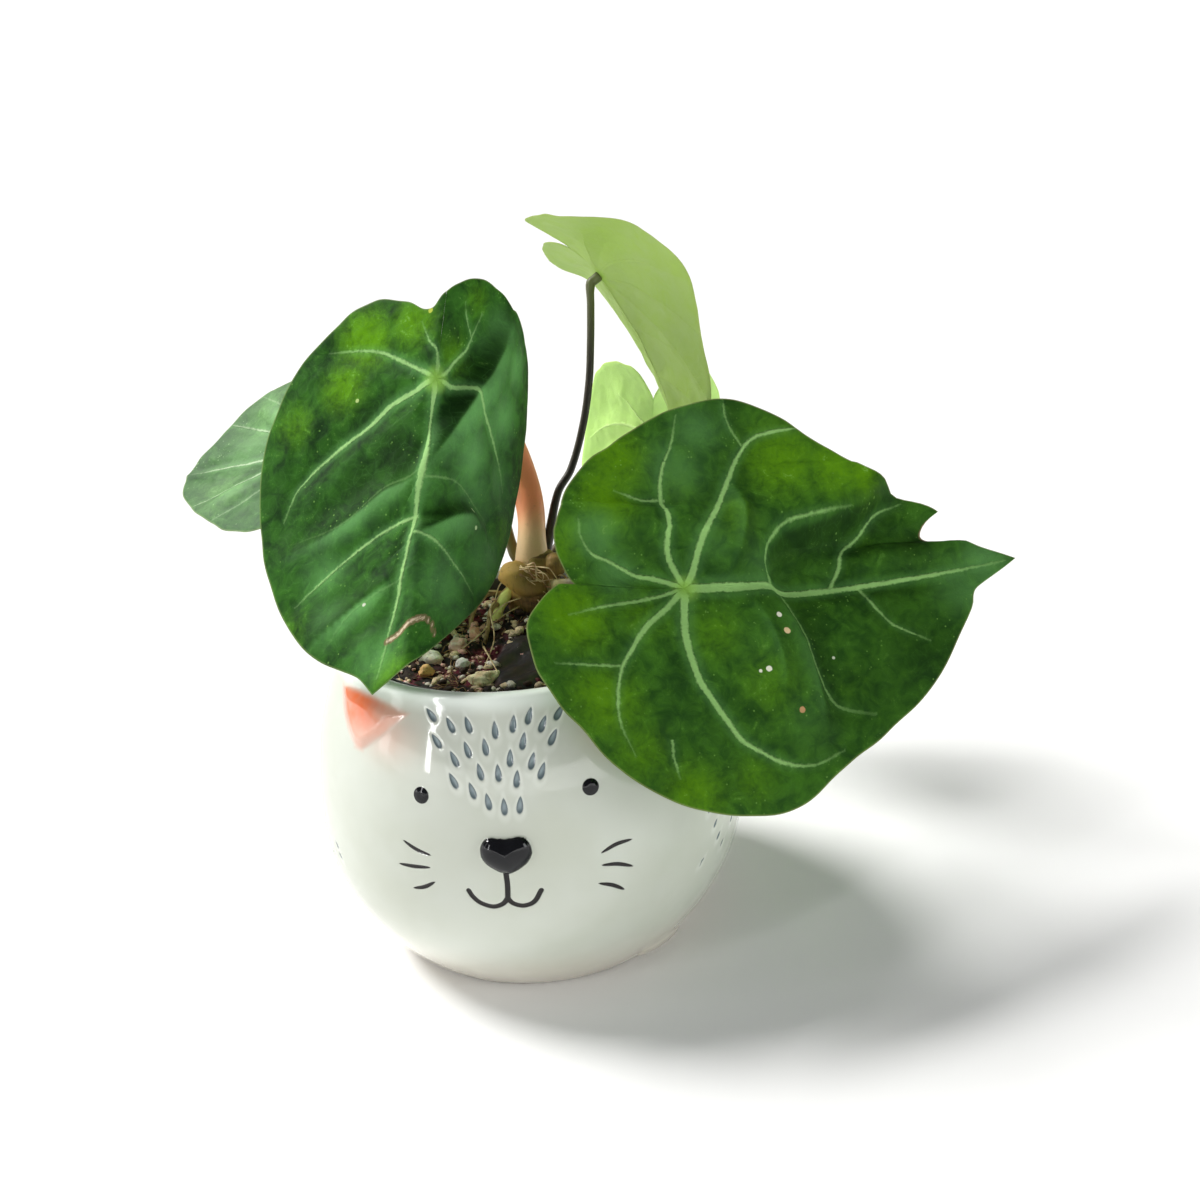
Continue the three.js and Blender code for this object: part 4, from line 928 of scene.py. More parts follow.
def face_fields(azimuth, z):
    """Signed distances in mm, less than 0 inside, of the black parts, the inked lines, the dashes and
    the ears, and the ears' blush, over arrays of azimuth and height on the pot's skin."""
    radius = pot_radius(z)
    slope = (pot_radius(z + 0.2) - pot_radius(z - 0.2)) / 0.4
    slant = np.sqrt(1 + slope**2)
    per_degree = radius * np.pi / 180

    def local(place):
        return (azimuth - place[0]) * per_degree, (z - place[1]) * slant

    black = np.full(azimuth.shape, 9.0)
    for place in EYES:
        x, y = local(place)
        black = np.minimum(black, np.hypot(x, y) - EYE_RADIUS)
    x, y = local(NOSE_CENTRE)
    turn = np.degrees(np.arctan2(y, x)) % 360
    nose = np.hypot(x, y) - through(NOSE_TURNS, NOSE_RADII, turn)
    black = np.minimum(black, nose)

    ink = np.full(azimuth.shape, 9.0)
    near = (np.abs(azimuth) < 36) & (z > 34) & (z < 62)
    lines = [(PHILTRUM, 0.75, 0), *((m, 0.72, 0) for m in MOUTH), *((w, 0.6, 1) for w in WHISKERS)]
    for line, half, swell in lines:
        route = smooth_route(line, 60)
        unrolled = np.radians(azimuth[near]) * FACE_RADIUS
        _, plain, along = across_route(route * (math.radians(FACE_RADIUS), 1), unrolled, z[near])
        width = half * (np.sqrt(np.clip(4 * along * (1 - along), 0.04, 1)) if swell else 1.0)
        ink[near] = np.minimum(ink[near], plain - width)

    dash = np.full(azimuth.shape, 9.0)
    for place in DASHES + SIDE_DASHES:
        x, y = local(place)
        beside = abs(place[0]) > 50
        lean = math.radians(math.copysign(50, place[0]) if beside else place[0] * 2.3)
        size = 0.62 if beside else 1.0
        u = x * math.cos(lean) - y * math.sin(lean)
        v = x * math.sin(lean) + y * math.cos(lean)
        taper = DASH_HALF_WIDTH * size * (1 - 0.42 * np.clip(v / DASH_HALF_LENGTH, -1, 1))
        q = np.hypot(u / taper, v / (DASH_HALF_LENGTH * size))
        dash = np.minimum(dash, (q - 1) * DASH_HALF_WIDTH * size)

    ear = np.full(azimuth.shape, 9.0)
    blush = np.zeros(azimuth.shape)
    for side in (-1, 1):
        off = side * azimuth - EAR_AZIMUTH
        rise = np.clip((z - EAR_TIP_HEIGHT) / (EAR_TOP_HEIGHT - EAR_TIP_HEIGHT), 0, 1.15)
        half = EAR_HALF_WIDTH * (0.06 + 0.94 * rise**0.85)
        beside = (np.abs(off) - half) * per_degree * 0.72
        above = (z - EAR_TOP_HEIGHT + 1.6 * (off / EAR_HALF_WIDTH) ** 2) * slant
        under = (EAR_TIP_HEIGHT - z) * slant
        shape = np.maximum(np.maximum(beside, above), under)
        ear = np.minimum(ear, shape)
        fade = 0.45 + 0.55 * smooth(off, -14, 3)
        low = 0.5 + 0.5 * smooth(rise, 0.1, 0.6)
        inner = smooth(-shape, -1.8, 0.9) * fade * low
        glow = 0.3 * np.exp(-(((off + 11) / 9) ** 2) - ((z - 84) / 6) ** 2)
        blush = np.maximum(blush, np.maximum(inner, glow))
    return black, nose, ink, dash, ear, blush


def make_pot(settings):
    """The ceramic pot as one closed skin: a profile turned round the axis, finer at the face, pushed out
    along its normal by the ears, the nose and the tail, and in by the dashes and the lines."""
    step = settings.face_step / MM
    face = np.arange(-FACE_REACH, FACE_REACH + 0.01, math.degrees(step / POT_RADIUS))
    sides = np.concatenate([np.arange(FACE_REACH + 1, 75, 0.75), np.arange(76, 180, 2.4)])
    azimuth = np.concatenate([-sides[::-1], face, sides])
    low = np.array([0, 0.25, 0.8, 1.6, 3, 5, 7.5, 10, 13, 16, 19, 22, 25, 28, 31, 33.5])
    high = np.arange(35, 93.6, step)
    outer_z = np.concatenate([low, high])
    outer_r = pot_radius(outer_z)
    outer_r[:3] = outer_r[2] - np.array([1.3, 0.5, 0])
    rim_turn = np.linspace(0, np.pi, 15)[1:-1]
    edge_radius = pot_radius(np.array(float(POT_RIM))) - 0.2
    rim_middle = (edge_radius + POT_MOUTH_RADIUS) / 2
    rim_half = (edge_radius - POT_MOUTH_RADIUS) / 2
    rim_r = rim_middle + rim_half * np.sign(np.cos(rim_turn)) * np.abs(np.cos(rim_turn)) ** 0.75
    rim_z = POT_RIM + 2 * np.sin(rim_turn) ** 0.8
    inner_z = np.concatenate([[93.4, 92.2], np.arange(88, 12, -6.0), [9, 7, POT_FLOOR + 0.4]])
    inner_r = np.minimum(POT_MOUTH_RADIUS, pot_radius(inner_z) - POT_WALL)
    inner_r[2:] = pot_radius(inner_z[2:]) - POT_WALL
    inner_r[-2:] -= (2, 5)
    foot_r = np.array([12.0, 26, 38])
    z = np.concatenate([0 * foot_r, outer_z, rim_z, inner_z, POT_FLOOR + 0 * foot_r])
    r = np.concatenate([foot_r, outer_r, rim_r, inner_r, foot_r[::-1]])
    grid_az, grid_z = np.meshgrid(azimuth, z)
    grid_r = np.broadcast_to(r[:, None], grid_az.shape).copy()
    outside = np.zeros(len(z), bool)
    outside[len(foot_r):len(foot_r) + len(outer_z)] = True

    fields = [np.full(grid_az.shape, 9.0) for _ in range(5)] + [np.zeros(grid_az.shape)]
    for field, found in zip(fields, face_fields(grid_az[outside], grid_z[outside])):
        field[outside] = found
    black, nose, ink, dash, ear, blush = fields

    lift = EAR_RAISE * smooth(-ear, -1.0, 3.2) * smooth(93.5 - grid_z, 0, 3)
    button = np.clip(-nose / 6.0, 0, 1)
    lift += np.where(nose < 0, NOSE_RAISE * np.sqrt(1 - (1 - button) ** 2.2), 0)
    lift -= DASH_DEPTH * smooth(-dash, -0.3, 0.7)
    lift -= LINE_DEPTH * smooth(-ink, -0.3, 0.4)
    eye = np.where(nose > 3, black, 9)
    lift += EYE_RAISE * smooth(-eye, -0.2, 1.4)
    lift[~outside] = 0

    turn = np.radians(grid_az)
    slope = np.gradient(r) / np.where(np.abs(np.gradient(z)) < 1e-6, 1, np.gradient(z))
    lean = np.sqrt(1 + np.clip(slope, -3, 3) ** 2)[:, None]
    grid_r += lift / lean
    grid_z = grid_z - lift * np.clip(slope, -3, 3)[:, None] / lean
    grid_r = np.where(outside[:, None], np.maximum(grid_r, tail_reach(grid_az, grid_z)), grid_r)
    rings = np.stack([grid_r * np.sin(turn), -grid_r * np.cos(turn), grid_z], -1)
    points, faces = closed_surface(rings, (0, 0, 0), (0, 0, POT_FLOOR))
    numbers = {"black": black, "ink": ink, "dash": dash, "blush": blush}
    numbers = {key: with_ends(values) for key, values in numbers.items()}
    piece = make_object("pot_skin", points, faces, glaze_material(settings), numbers)
    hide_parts("ceramic_pot")
    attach(piece, "root")


def tail_reach(azimuth, z):
    """How far from the axis a level ray leaves the tail's ellipsoid, or 0 where it misses it."""
    turn = np.radians(azimuth - TAIL["azimuth"])
    a = (np.cos(turn) / TAIL["across"]) ** 2 + (np.sin(turn) / TAIL["along"]) ** 2
    b = -2 * TAIL["radius"] * np.cos(turn) / TAIL["across"] ** 2
    c = (TAIL["radius"] / TAIL["across"]) ** 2 + ((z - TAIL["height"]) / TAIL["up"]) ** 2 - 1
    inside = b * b - 4 * a * c
    return np.where(inside > 0, (-b + np.sqrt(np.maximum(inside, 0))) / (2 * a), 0)


def grow_radius(z):
    """Radius of the grow pot's outside, a straight taper from foot to top."""
    share = (z - GROW_FOOT) / (GROW_TOP - GROW_FOOT)
    return GROW_FOOT_RADIUS + (GROW_TOP_RADIUS - 1 - GROW_FOOT_RADIUS) * share


def make_grow_pot():
    """The grow pot: a thin profile turned round the axis, with its rolled rim."""
    profile = [
        (18, GROW_FOOT), (33.2, GROW_FOOT), (GROW_FOOT_RADIUS, GROW_FOOT + 0.8), (grow_radius(30), 30),
        (grow_radius(60), 60), (grow_radius(85.4), 85.4), (grow_radius(86), 85.9), (46.1, 86.2),
        (GROW_TOP_RADIUS, 86.7), (GROW_TOP_RADIUS, 93.2), (46.25, 93.8), (45.9, 94),
        (44.9, 93.95), (44.5, 93.6), (grow_radius(92) - 1.05, 92), (grow_radius(60) - 1, 60),
        (grow_radius(30) - 1, 30), (grow_radius(8.4) - 1, 8.4), (32.4, GROW_FOOT + 1.4),
        (18, GROW_FOOT + 1.4),
    ]
    r, z = np.array(profile).T
    turn = np.radians(np.arange(0, 360, 3))
    height = np.repeat(z[:, None], len(turn), 1)
    rings = np.stack([r[:, None] * np.sin(turn), -r[:, None] * np.cos(turn), height], -1)
    points, faces = closed_surface(rings, (0, 0, GROW_FOOT), (0, 0, GROW_FOOT + 1.4))
    piece = make_object("grow_pot_skin", points, faces, plastic_material())
    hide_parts("nursery_pot")
    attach(piece, "root")


# Mix, grains, fibres and pebbles.
def soil_height(x, y):
    """Height of the mix: a low mound round the stem, with slow ripples."""
    away = np.hypot(x - SOIL_CENTRE[0], y - SOIL_CENTRE[1])
    ripple = 0.5 * np.sin(0.31 * x + 1.3) * np.cos(0.27 * y) + 0.3 * np.sin(0.7 * x - 0.5 * y)
    return SOIL_EDGE + SOIL_MOUND * np.exp(-((away / SOIL_MOUND_RADIUS) ** 2)) + ripple


def bare_share(x, y):
    """1 on the smooth dark piece of bark in front, 0 away from it."""
    cx, cy, rx, ry = BARE_PATCH
    return smooth(1.15 - np.hypot((x - cx) / rx, (y - cy) / ry), 0, 0.35)


def make_soil(settings):
    """The mix: rings out from the middle over a rough height field, then down the wall to the foot."""
    rim = grow_radius(SOIL_EDGE - 1) - GROW_WALL - SOIL_GAP
    share = np.linspace(0.012, 1, 84)
    turn = np.radians(np.arange(0, 360, 1.8))
    x = rim * share[:, None] * np.sin(turn)
    y = -rim * share[:, None] * np.cos(turn)
    bare = bare_share(x, y)
    flat = np.stack([x, y], -1)
    rough = 0.55 * ripples(flat, 5, 3) + 0.35 * ripples(flat, 2.4, 4) + 0.25 * ripples(flat, 1.2, 5)
    z = soil_height(x, y) + rough * (1 - 0.85 * bare) + 1.1 * bare
    top = np.stack([x, y, z], -1)
    foot = GROW_FOOT + 1.7
    foot_radius = grow_radius(foot) - GROW_WALL - SOIL_GAP
    wall = []
    for level in (0.6, 0.3, 0.0):
        radius = foot_radius + (rim - foot_radius) * level
        height = foot + (SOIL_EDGE - 1 - foot) * level
        wall.append(np.stack([radius * np.sin(turn), -radius * np.cos(turn), 0 * turn + height], -1))
    rings = np.concatenate([top, wall])[::-1]
    points, faces = closed_surface(rings, (0, 0, foot))
    bare = np.concatenate([bare, np.zeros((3, len(turn)))])[::-1]
    piece = make_object("potting_mix", points, faces, mix_material(), {"bare": with_ends(bare)})
    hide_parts("soil")
    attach(piece, "root")
    make_grains(settings)
    make_litter(settings)


def stone_shape(rings, columns):
    """A unit ball as rings of points between two poles."""
    tilt = np.pi * (np.arange(rings) + 1) / (rings + 1)
    turn = 2 * np.pi * np.arange(columns) / columns
    level = -np.cos(tilt)[:, None] + 0 * turn
    return np.stack([np.sin(tilt)[:, None] * np.cos(turn), np.sin(tilt)[:, None] * np.sin(turn), level], -1)


def make_grains(settings):
    """Small stones and bark bits on the mix: uneven balls scattered by chance, few on the bare patch and
    redder at the left."""
    random = np.random.default_rng(11)
    parts, tints = [], []
    while len(parts) < settings.grain_count:
        turn, away = random.uniform(0, 2 * np.pi), 43.5 * math.sqrt(random.uniform())
        x, y = away * math.cos(turn), away * math.sin(turn)
        size = random.choice([0.45, 0.7, 1.0, 1.5], p=[0.35, 0.35, 0.2, 0.1]) * random.uniform(0.8, 1.25)
        taken = bare_share(np.array(x), np.array(y)) > random.uniform(0.02, 1.6)
        if taken or math.hypot(x - STEM_SPOT[0], y - STEM_SPOT[1]) < 8 or away > 44 - size:
            continue
        ball = stone_shape(3, 6) * random.uniform(0.72, 1.15, (3, 6, 1))
        ball = ball * (size * random.uniform(0.9, 1.6), size * 0.8, size * random.uniform(0.45, 0.8))
        spin = random.uniform(0, np.pi)
        spun_x = ball[..., 0] * math.cos(spin) - ball[..., 1] * math.sin(spin)
        spun_y = ball[..., 0] * math.sin(spin) + ball[..., 1] * math.cos(spin)
        height = soil_height(x, y) + 0.35 * size
        parts.append(closed_surface(np.stack([x + spun_x, y + spun_y, height + ball[..., 2]], -1)))
        reddish = random.uniform() < (0.4 if x < -8 else 0.12)
        plain = random.choice([0.1, 0.3, 0.42, 0.95], p=[0.38, 0.2, 0.2, 0.22])
        tints.append(random.uniform(0.5, 0.88) if reddish else plain)
    points, faces = pile(parts)
    tint = np.repeat(tints, len(parts[0][0]))
    piece = make_object("grains", points, faces, grain_material(), {"tint": tint})
    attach(piece, "root")


def thin_tube(route, start, end, sides, rings):
    """A thin closed tube along a smooth route, from one radius to the other."""
    points = smooth_route(route, rings)
    return closed_surface(tube_rings(points, np.linspace(start, end, rings), sides))


def make_litter(settings):
    """Loose fibres lying on the mix, each a thin tube along a wandering line."""
    random = np.random.default_rng(23)
    parts = []
    while len(parts) < settings.fibre_count:
        turn, away = random.uniform(0, 2 * np.pi), 40 * math.sqrt(random.uniform())
        x, y = away * math.cos(turn), away * math.sin(turn)
        off_stem = math.hypot(x - STEM_SPOT[0], y - STEM_SPOT[1])
        if bare_share(np.array(x), np.array(y)) > 0.3 or off_stem < 7:
            continue
        heading, length = random.uniform(0, 2 * np.pi), random.uniform(4, 11)
        route = []
        for k in range(5):
            heading += random.normal() * 0.45
            x, y = x + length / 5 * math.cos(heading), y + length / 5 * math.sin(heading)
            if math.hypot(x, y) > 42.5:
                break
            route.append((x, y, soil_height(x, y) + 0.5 + 1.3 * random.uniform() * math.sin(0.8 * k)))
        if len(route) > 3:
            parts.append(thin_tube(route, random.uniform(0.12, 0.22), 0.08, 4, 12))
    points, faces = pile(parts)
    material = root_material("dry_fibres", srgb(168, 132, 92), srgb(96, 62, 40))
    piece = make_object("fibres", points, faces, material)
    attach(piece, "root")


def make_pebbles():
    """Ten pumice pebbles: balls made lumpy by ripples and scaled to their half sizes, some bent by a
    parabola, and turned."""
    for k, stone in enumerate(PEBBLES):
        ball = stone_shape(22, 30)
        lumps = 0.22 * ripples(ball, 1.6, 40 + k) + 0.15 * ripples(ball, 0.8, 60 + k)
        ball = ball * (0.97 + lumps)[..., None]
        ball = np.sign(ball) * np.abs(ball) ** 0.92 * stone["half"]
        if stone.get("bent"):
            ball[..., 1] += 0.09 * ball[..., 0] ** 2 - 0.5
        spin = math.radians(stone["turn"])
        x = ball[..., 0] * math.cos(spin) - ball[..., 1] * math.sin(spin) + stone["at"][0]
        y = ball[..., 0] * math.sin(spin) + ball[..., 1] * math.cos(spin) + stone["at"][1]
        z = ball[..., 2] + soil_height(*stone["at"]) + 0.55 * stone["half"][2]
        points, faces = closed_surface(np.stack([x, y, z], -1))
        name = f"pebble_skin_{k + 1}"
        piece = make_object(name, points, faces, pebble_material(name, stone["colour"]))
        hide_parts(f"pebble_{k + 1}")
        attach(piece, "root")


# Stem and roots.
def make_stem(settings):
    """The stem: a tube whose radius follows its list, with old leaf scars as rings and lumps from
    ripples. The bud and the knob at its left are balls scaled to their half sizes and made lumpy, their
    lower sides darkened as painted shade."""
    rings, sides = 90, 72
    route = smooth_route(STEM_ROUTE, rings)
    share = np.linspace(0, 1, rings)
    radius = through(np.linspace(0, 1, len(STEM_RADII)), STEM_RADII, share)
    turn = 2 * np.pi * np.arange(sides) / sides
    rough = tube_rings(route, radius, sides)
    scars = np.sin(share * 34 + 0.8 * np.sin(2 * share * 7))[:, None] + 0.35 * np.sin(turn * 2)[None, :]
    ring = smooth(scars, 0.72, 1.1)
    lumps = 0.4 * ripples(rough, 6, 8) + 0.16 * ripples(rough, 2.2, 9)
    radii = radius[:, None] + lumps - 0.35 * ring
    radii[-6:] *= np.linspace(1, 0.72, 6)[:, None]
    points, faces = closed_surface(tube_rings(route, radii, sides))
    bark = stem_material(settings)
    stem = make_object("stem_skin", points, faces, bark, {"ring": with_ends(ring * 0.8)})

    ball = stone_shape(22, 26)
    # Painted shade: the lower sides of the bud, and more faintly the knob, take the dark ring colour.
    level = with_ends(smooth(-ball[..., 2], 0.2, 0.9)) * 0.5
    level = np.concatenate([level, 0.3 * level])
    bud = ball * (BUD_RADIUS, BUD_RADIUS * 0.9, BUD_RADIUS * 1.2)
    bud = bud * (1 + 0.05 * ripples(bud, 3, 5))[..., None] + BUD_CENTRE
    knob = ball * KNOB_HALVES
    knob[..., 2] -= 0.4 * knob[..., 0]
    knob = knob * (1 + 0.07 * ripples(knob, 5, 6))[..., None] + KNOB_CENTRE
    points, faces = pile([closed_surface(bud), closed_surface(knob)])
    buds = make_object("stem_buds", points, faces, bark, {"ring": level})
    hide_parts("stem")
    for piece in (stem, buds):
        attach(piece, "root")


def make_roots():
    """The thick pale aerial root, a tube that swells and shrinks by a sine, and the thin brown roots."""
    route = smooth_route(ROOTS[0]["route"], 60)
    wide = np.linspace(*ROOTS[0]["radii"], 60) * (1 + 0.08 * np.sin(np.linspace(0, 22, 60)))
    pale = root_material("aerial_root", srgb(244, 248, 150), srgb(220, 206, 118))
    young = make_object("aerial_root", *closed_surface(tube_rings(route, wide, 20)), pale)
    parts = [thin_tube(root["route"], *root["radii"], 12, 40) for root in ROOTS[1:]]
    brown = root_material("roots", srgb(178, 150, 106), srgb(108, 76, 48))
    old = make_object("roots", *pile(parts), brown)
    for piece in (young, old):
        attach(piece, "root")


def make_hair_roots():
    """Hair roots as thin bent tubes: some out from the stem to the mix in all directions, some laid
    along listed routes down to the left, and a tangle of dry ones in front of the stem."""
    random = np.random.default_rng(5)
    parts = []
    for _ in range(HAIR_ROOT_COUNT):
        turn = random.uniform(0, 2 * np.pi)
        out = np.array([math.cos(turn), math.sin(turn), 0])
        start = np.array([2.5, 27.5, random.uniform(91, 101)]) + out * random.uniform(6, 7.4)
        reach = random.uniform(4, 14)
        side = np.array([-out[1], out[0], 0]) * random.normal() * 4
        middle = start + out * reach * 0.5 + side + (0, 0, random.uniform(-2, 1.5))
        end = start + out * reach + side * 2
        end[2] = soil_height(end[0], end[1]) + 0.2
        if math.hypot(end[0], end[1]) < 42:
            parts.append(thin_tube([start, middle, end], random.uniform(0.18, 0.34), 0.1, 5, 16))
    parts += [thin_tube(route, 0.3, 0.16, 6, 30) for route in LAID_ROOTS]
    for _ in range(TANGLE_COUNT):
        x, z = random.uniform(-3, 5), random.uniform(103, 107)
        bend = random.normal(size=(3, 2)) * 1.2
        route = [(x, 21.5, z), (x + 2 + bend[0, 0], 18.6, z + bend[0, 1]),
                 (x + 4 + bend[1, 0], 18.8, z - 2 + bend[1, 1]),
                 (x + 6 + bend[2, 0], 21, z - 5 + bend[2, 1])]
        parts.append(thin_tube(route, 0.22, 0.14, 5, 20))
    dry = root_material("hair_roots", srgb(240, 216, 170), srgb(160, 118, 82))
    hair = make_object("hair_roots", *pile(parts), dry)
    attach(hair, "root")


# Blades.
def per_mm(bend):
    """Radians for each mm from degrees for each 10 mm."""
    return math.radians(bend) / 10


def curved_run(angle, curvature, x):
    """How far on and how far down a line of length x gets that starts at an angle and keeps curving."""
    k = np.where(np.abs(curvature) < 1e-7, 1e-7, curvature)
    return (np.sin(angle + k * x) - np.sin(angle)) / k, (np.cos(angle) - np.cos(angle + k * x)) / k


def leaf_axes(leaf):
    """Unit vectors toward the tip, across to the right half, and up from the upper face."""
    yaw, pitch, roll = np.radians(leaf["turns"])
    tip = np.array([np.cos(yaw) * np.cos(pitch), np.sin(yaw) * np.cos(pitch), np.sin(pitch)])
    level = np.cross((0, 0, 1), tip)
    level /= np.linalg.norm(level)
    lifted = np.cross(tip, level)
    return tip, level * np.cos(roll) + lifted * np.sin(roll), lifted * np.cos(roll) - level * np.sin(roll)


def wave_height(s, w):
    """Leaf B's wave: half its height times tanh of the way past the crest, dying out on both sides."""
    across = np.clip(w, CREST_W[0], CREST_W[-1])
    crest = through(CREST_W, CREST_S, across)
    lean = through(CREST_W, CREST_S, np.minimum(across + 0.5, CREST_W[-1])) - through(
        CREST_W, CREST_S, np.maximum(across - 0.5, CREST_W[0]))
    away = (crest - s) / np.hypot(1, lean)
    height = through(HEIGHT_W, HEIGHT, np.clip(w, HEIGHT_W[0], HEIGHT_W[-1]))
    reach = np.where(away > 0, 24, 34)
    return 0.5 * height * np.tanh(away / 2.5) * np.exp(-((away / reach) ** 2))


def blade_sheet(leaf, s, w):
    """The blade's middle sheet: bent along the midrib, folded and curled about it, and put in place."""
    tip, across, up = leaf_axes(leaf)
    bend = np.where(s >= 0, per_mm(leaf["bend"][0]), per_mm(leaf["bend"][1]))
    on, drop = curved_run(0.0, bend, s)
    lobe = smooth(-s / 20)
    right = w >= 0
    fold = np.radians(np.where(right, leaf["fold"][0] + leaf["lobe"][0] * lobe,
                               leaf["fold"][1] + leaf["lobe"][1] * lobe))
    curl = np.where(right, per_mm(leaf["curl"][0]), per_mm(leaf["curl"][1]))
    softened = np.hypot(w, MIDRIB_SOFTNESS) - MIDRIB_SOFTNESS
    out = curved_run(fold, curl, np.abs(w))[0]
    down = curved_run(fold, curl, softened)[1]
    if leaf.get("wave"):
        down = down - wave_height(s, w)
    lean = bend * s
    place = (on - np.sin(lean) * down)[..., None] * tip
    place = place + (np.sign(w) * out)[..., None] * across
    return place + (-drop - np.cos(lean) * down)[..., None] * up + np.array(leaf["joint"])


def margin_radius(leaf, angle):
    """Distance from the joint to the margin at each bearing, with the bitten place and slow ripples."""
    size = np.abs(angle)
    radius = np.where(angle >= 0, through(RADIUS_ANGLES, leaf["right"], size),
                      through(RADIUS_ANGLES, leaf["left"], size))
    if "bite" in leaf:
        start, end, depth = leaf["bite"]
        t = np.clip((angle - start) / (end - start) * 2 - 1, -1, 1)
        ragged = 1 + 0.05 * np.sin(angle * 0.9)
        radius = radius - depth * (1 - t * t) ** 0.62 * ragged
    place = np.stack([np.cos(np.radians(angle)), np.sin(np.radians(angle))], -1) * 60
    return radius + 0.28 * ripples(place, 13, 2) * smooth(180 - size, 0, 12)


def leaf_veins(name, leaf):
    """A blade's veins: the ones listed for it, or a fan of primaries with side veins off the midrib."""
    if name in VEINS:
        return VEINS[name]
    reach = leaf["right"][0]
    scale = reach / 56
    veins = [([(0, 0), (reach * 0.5, 0), (reach * 0.97, 0)], 0.95, 0.25, 1)]
    for bearing, length, bow in FAN_VEINS:
        turn = math.radians(bearing)
        lean = math.copysign(1, bearing)
        route = []
        for t in (0, 0.25, 0.5, 0.75, 1):
            s = length * scale * t * math.cos(turn) + bow * scale * t * t
            w = length * scale * t * math.sin(turn) - lean * 0.12 * bow * scale * t * t
            route.append((s, w))
        faint = name == "leaf_c" or (name == "leaf_e" and abs(bearing) > 40)
        veins.append((route, 0.7, 0.2, 0.35 if faint else 0.8))
    for start, length in SIDE_VEINS if name != "leaf_e" else ():
        for lean in (-1, 1):
            a, b = start * scale, length * scale
            route = [(a, 0), (a + b * 0.3, lean * b * 0.35), (a + b * 0.62, lean * b * 0.56)]
            veins.append((route, 0.4, 0.2, 0.2 if name == "leaf_c" else 0.5))
    return veins


def patch_field(patches, s, w):
    """The strongest of a list of soft round patches at each place."""
    field = np.zeros(s.shape)
    for at_s, at_w, radius, strength in patches:
        away = ((s - at_s) ** 2 + (w - at_w) ** 2) / radius**2
        field = np.maximum(field, strength * np.exp(-away))
    return field


def crease_fields(name, s, w):
    """Relief, shade and sheen of the creases. A ridge falls away by a bell of its own width on either
    side, the left side ends in a hollow, and both fade out toward the crease's ends."""
    relief, shade, sheen = np.zeros(s.shape), np.zeros(s.shape), np.zeros(s.shape)
    for route, height, left_width, right_width, dark, light in CREASES[name]:
        side, plain, along = across_route(smooth_route(route, 80), s, w)
        left = side > 0
        width = np.where(left, left_width, right_width)
        fade = np.clip(np.sin(np.pi * np.clip(along, 0.06, 0.94)), 0, 1) ** 0.5
        bell = np.exp(-((plain / width) ** 2))
        hollow = np.exp(-((plain / (2.6 * left_width)) ** 2)) - bell
        relief += height * fade * (bell - 0.7 * hollow * left)
        nearby = smooth(side, -0.6, 0.9)
        shade = np.maximum(shade, dark * fade * nearby * np.exp(-((plain / (1.7 * left_width)) ** 2)))
        sheen = np.maximum(sheen, light * fade * (1 - nearby) * np.exp(-((plain / right_width) ** 2)))
    return relief, shade, sheen


def blade_grid(leaf, spokes, rings):
    """Spokes and rings of a flat blade: each place's radius and bearing, and about how far it is from
    the margin. Behind the joint a thin slit parts the first spoke from the last."""
    angle = np.linspace(-180, 180, spokes + 1)
    angle = np.concatenate([angle, np.arange(-6, 6, 0.5)])
    if "bite" in leaf:
        angle = np.concatenate([angle, np.arange(5.5, 15, 0.18)])
    angle = np.unique(np.round(angle, 3))
    margin = margin_radius(leaf, angle)
    share = np.linspace(0, 1, rings) ** 0.9
    radius = HUB_RADIUS + (margin[None, :] - HUB_RADIUS) * share[:, None]
    slit = np.degrees(np.arcsin(SLIT_HALF / radius))
    bearing = np.clip(np.broadcast_to(angle, radius.shape), slit - 180, 180 - slit)
    return radius, bearing, (margin[None, :] - radius) * 0.9


def shell_faces(count, columns):
    """Faces of a shell from an upper and a lower grid and two hub points: both sheets, the wall at the
    margin, the two walls of the slit, and a fan to each hub."""
    total = count * columns
    top = ring_faces(count, columns, closed=False)[:, ::-1]
    under = ring_faces(count, columns, first=total, closed=False)
    last = np.arange(columns - 1) + (count - 1) * columns
    outer_wall = np.stack([last, last + total, last + total + 1, last + 1], 1)
    row = np.arange(count - 1) * columns
    first_wall = np.stack([row, row + total, row + columns + total, row + columns], 1)
    row = row + columns - 1
    end_wall = np.stack([row, row + columns, row + columns + total, row + total], 1)
    hub_top = fan_faces(2 * total, 0, columns, True)
    hub_under = fan_faces(2 * total + 1, total, columns, False)
    return [np.concatenate([top, under, outer_wall, first_wall, end_wall]),
            np.concatenate([hub_top, hub_under])]


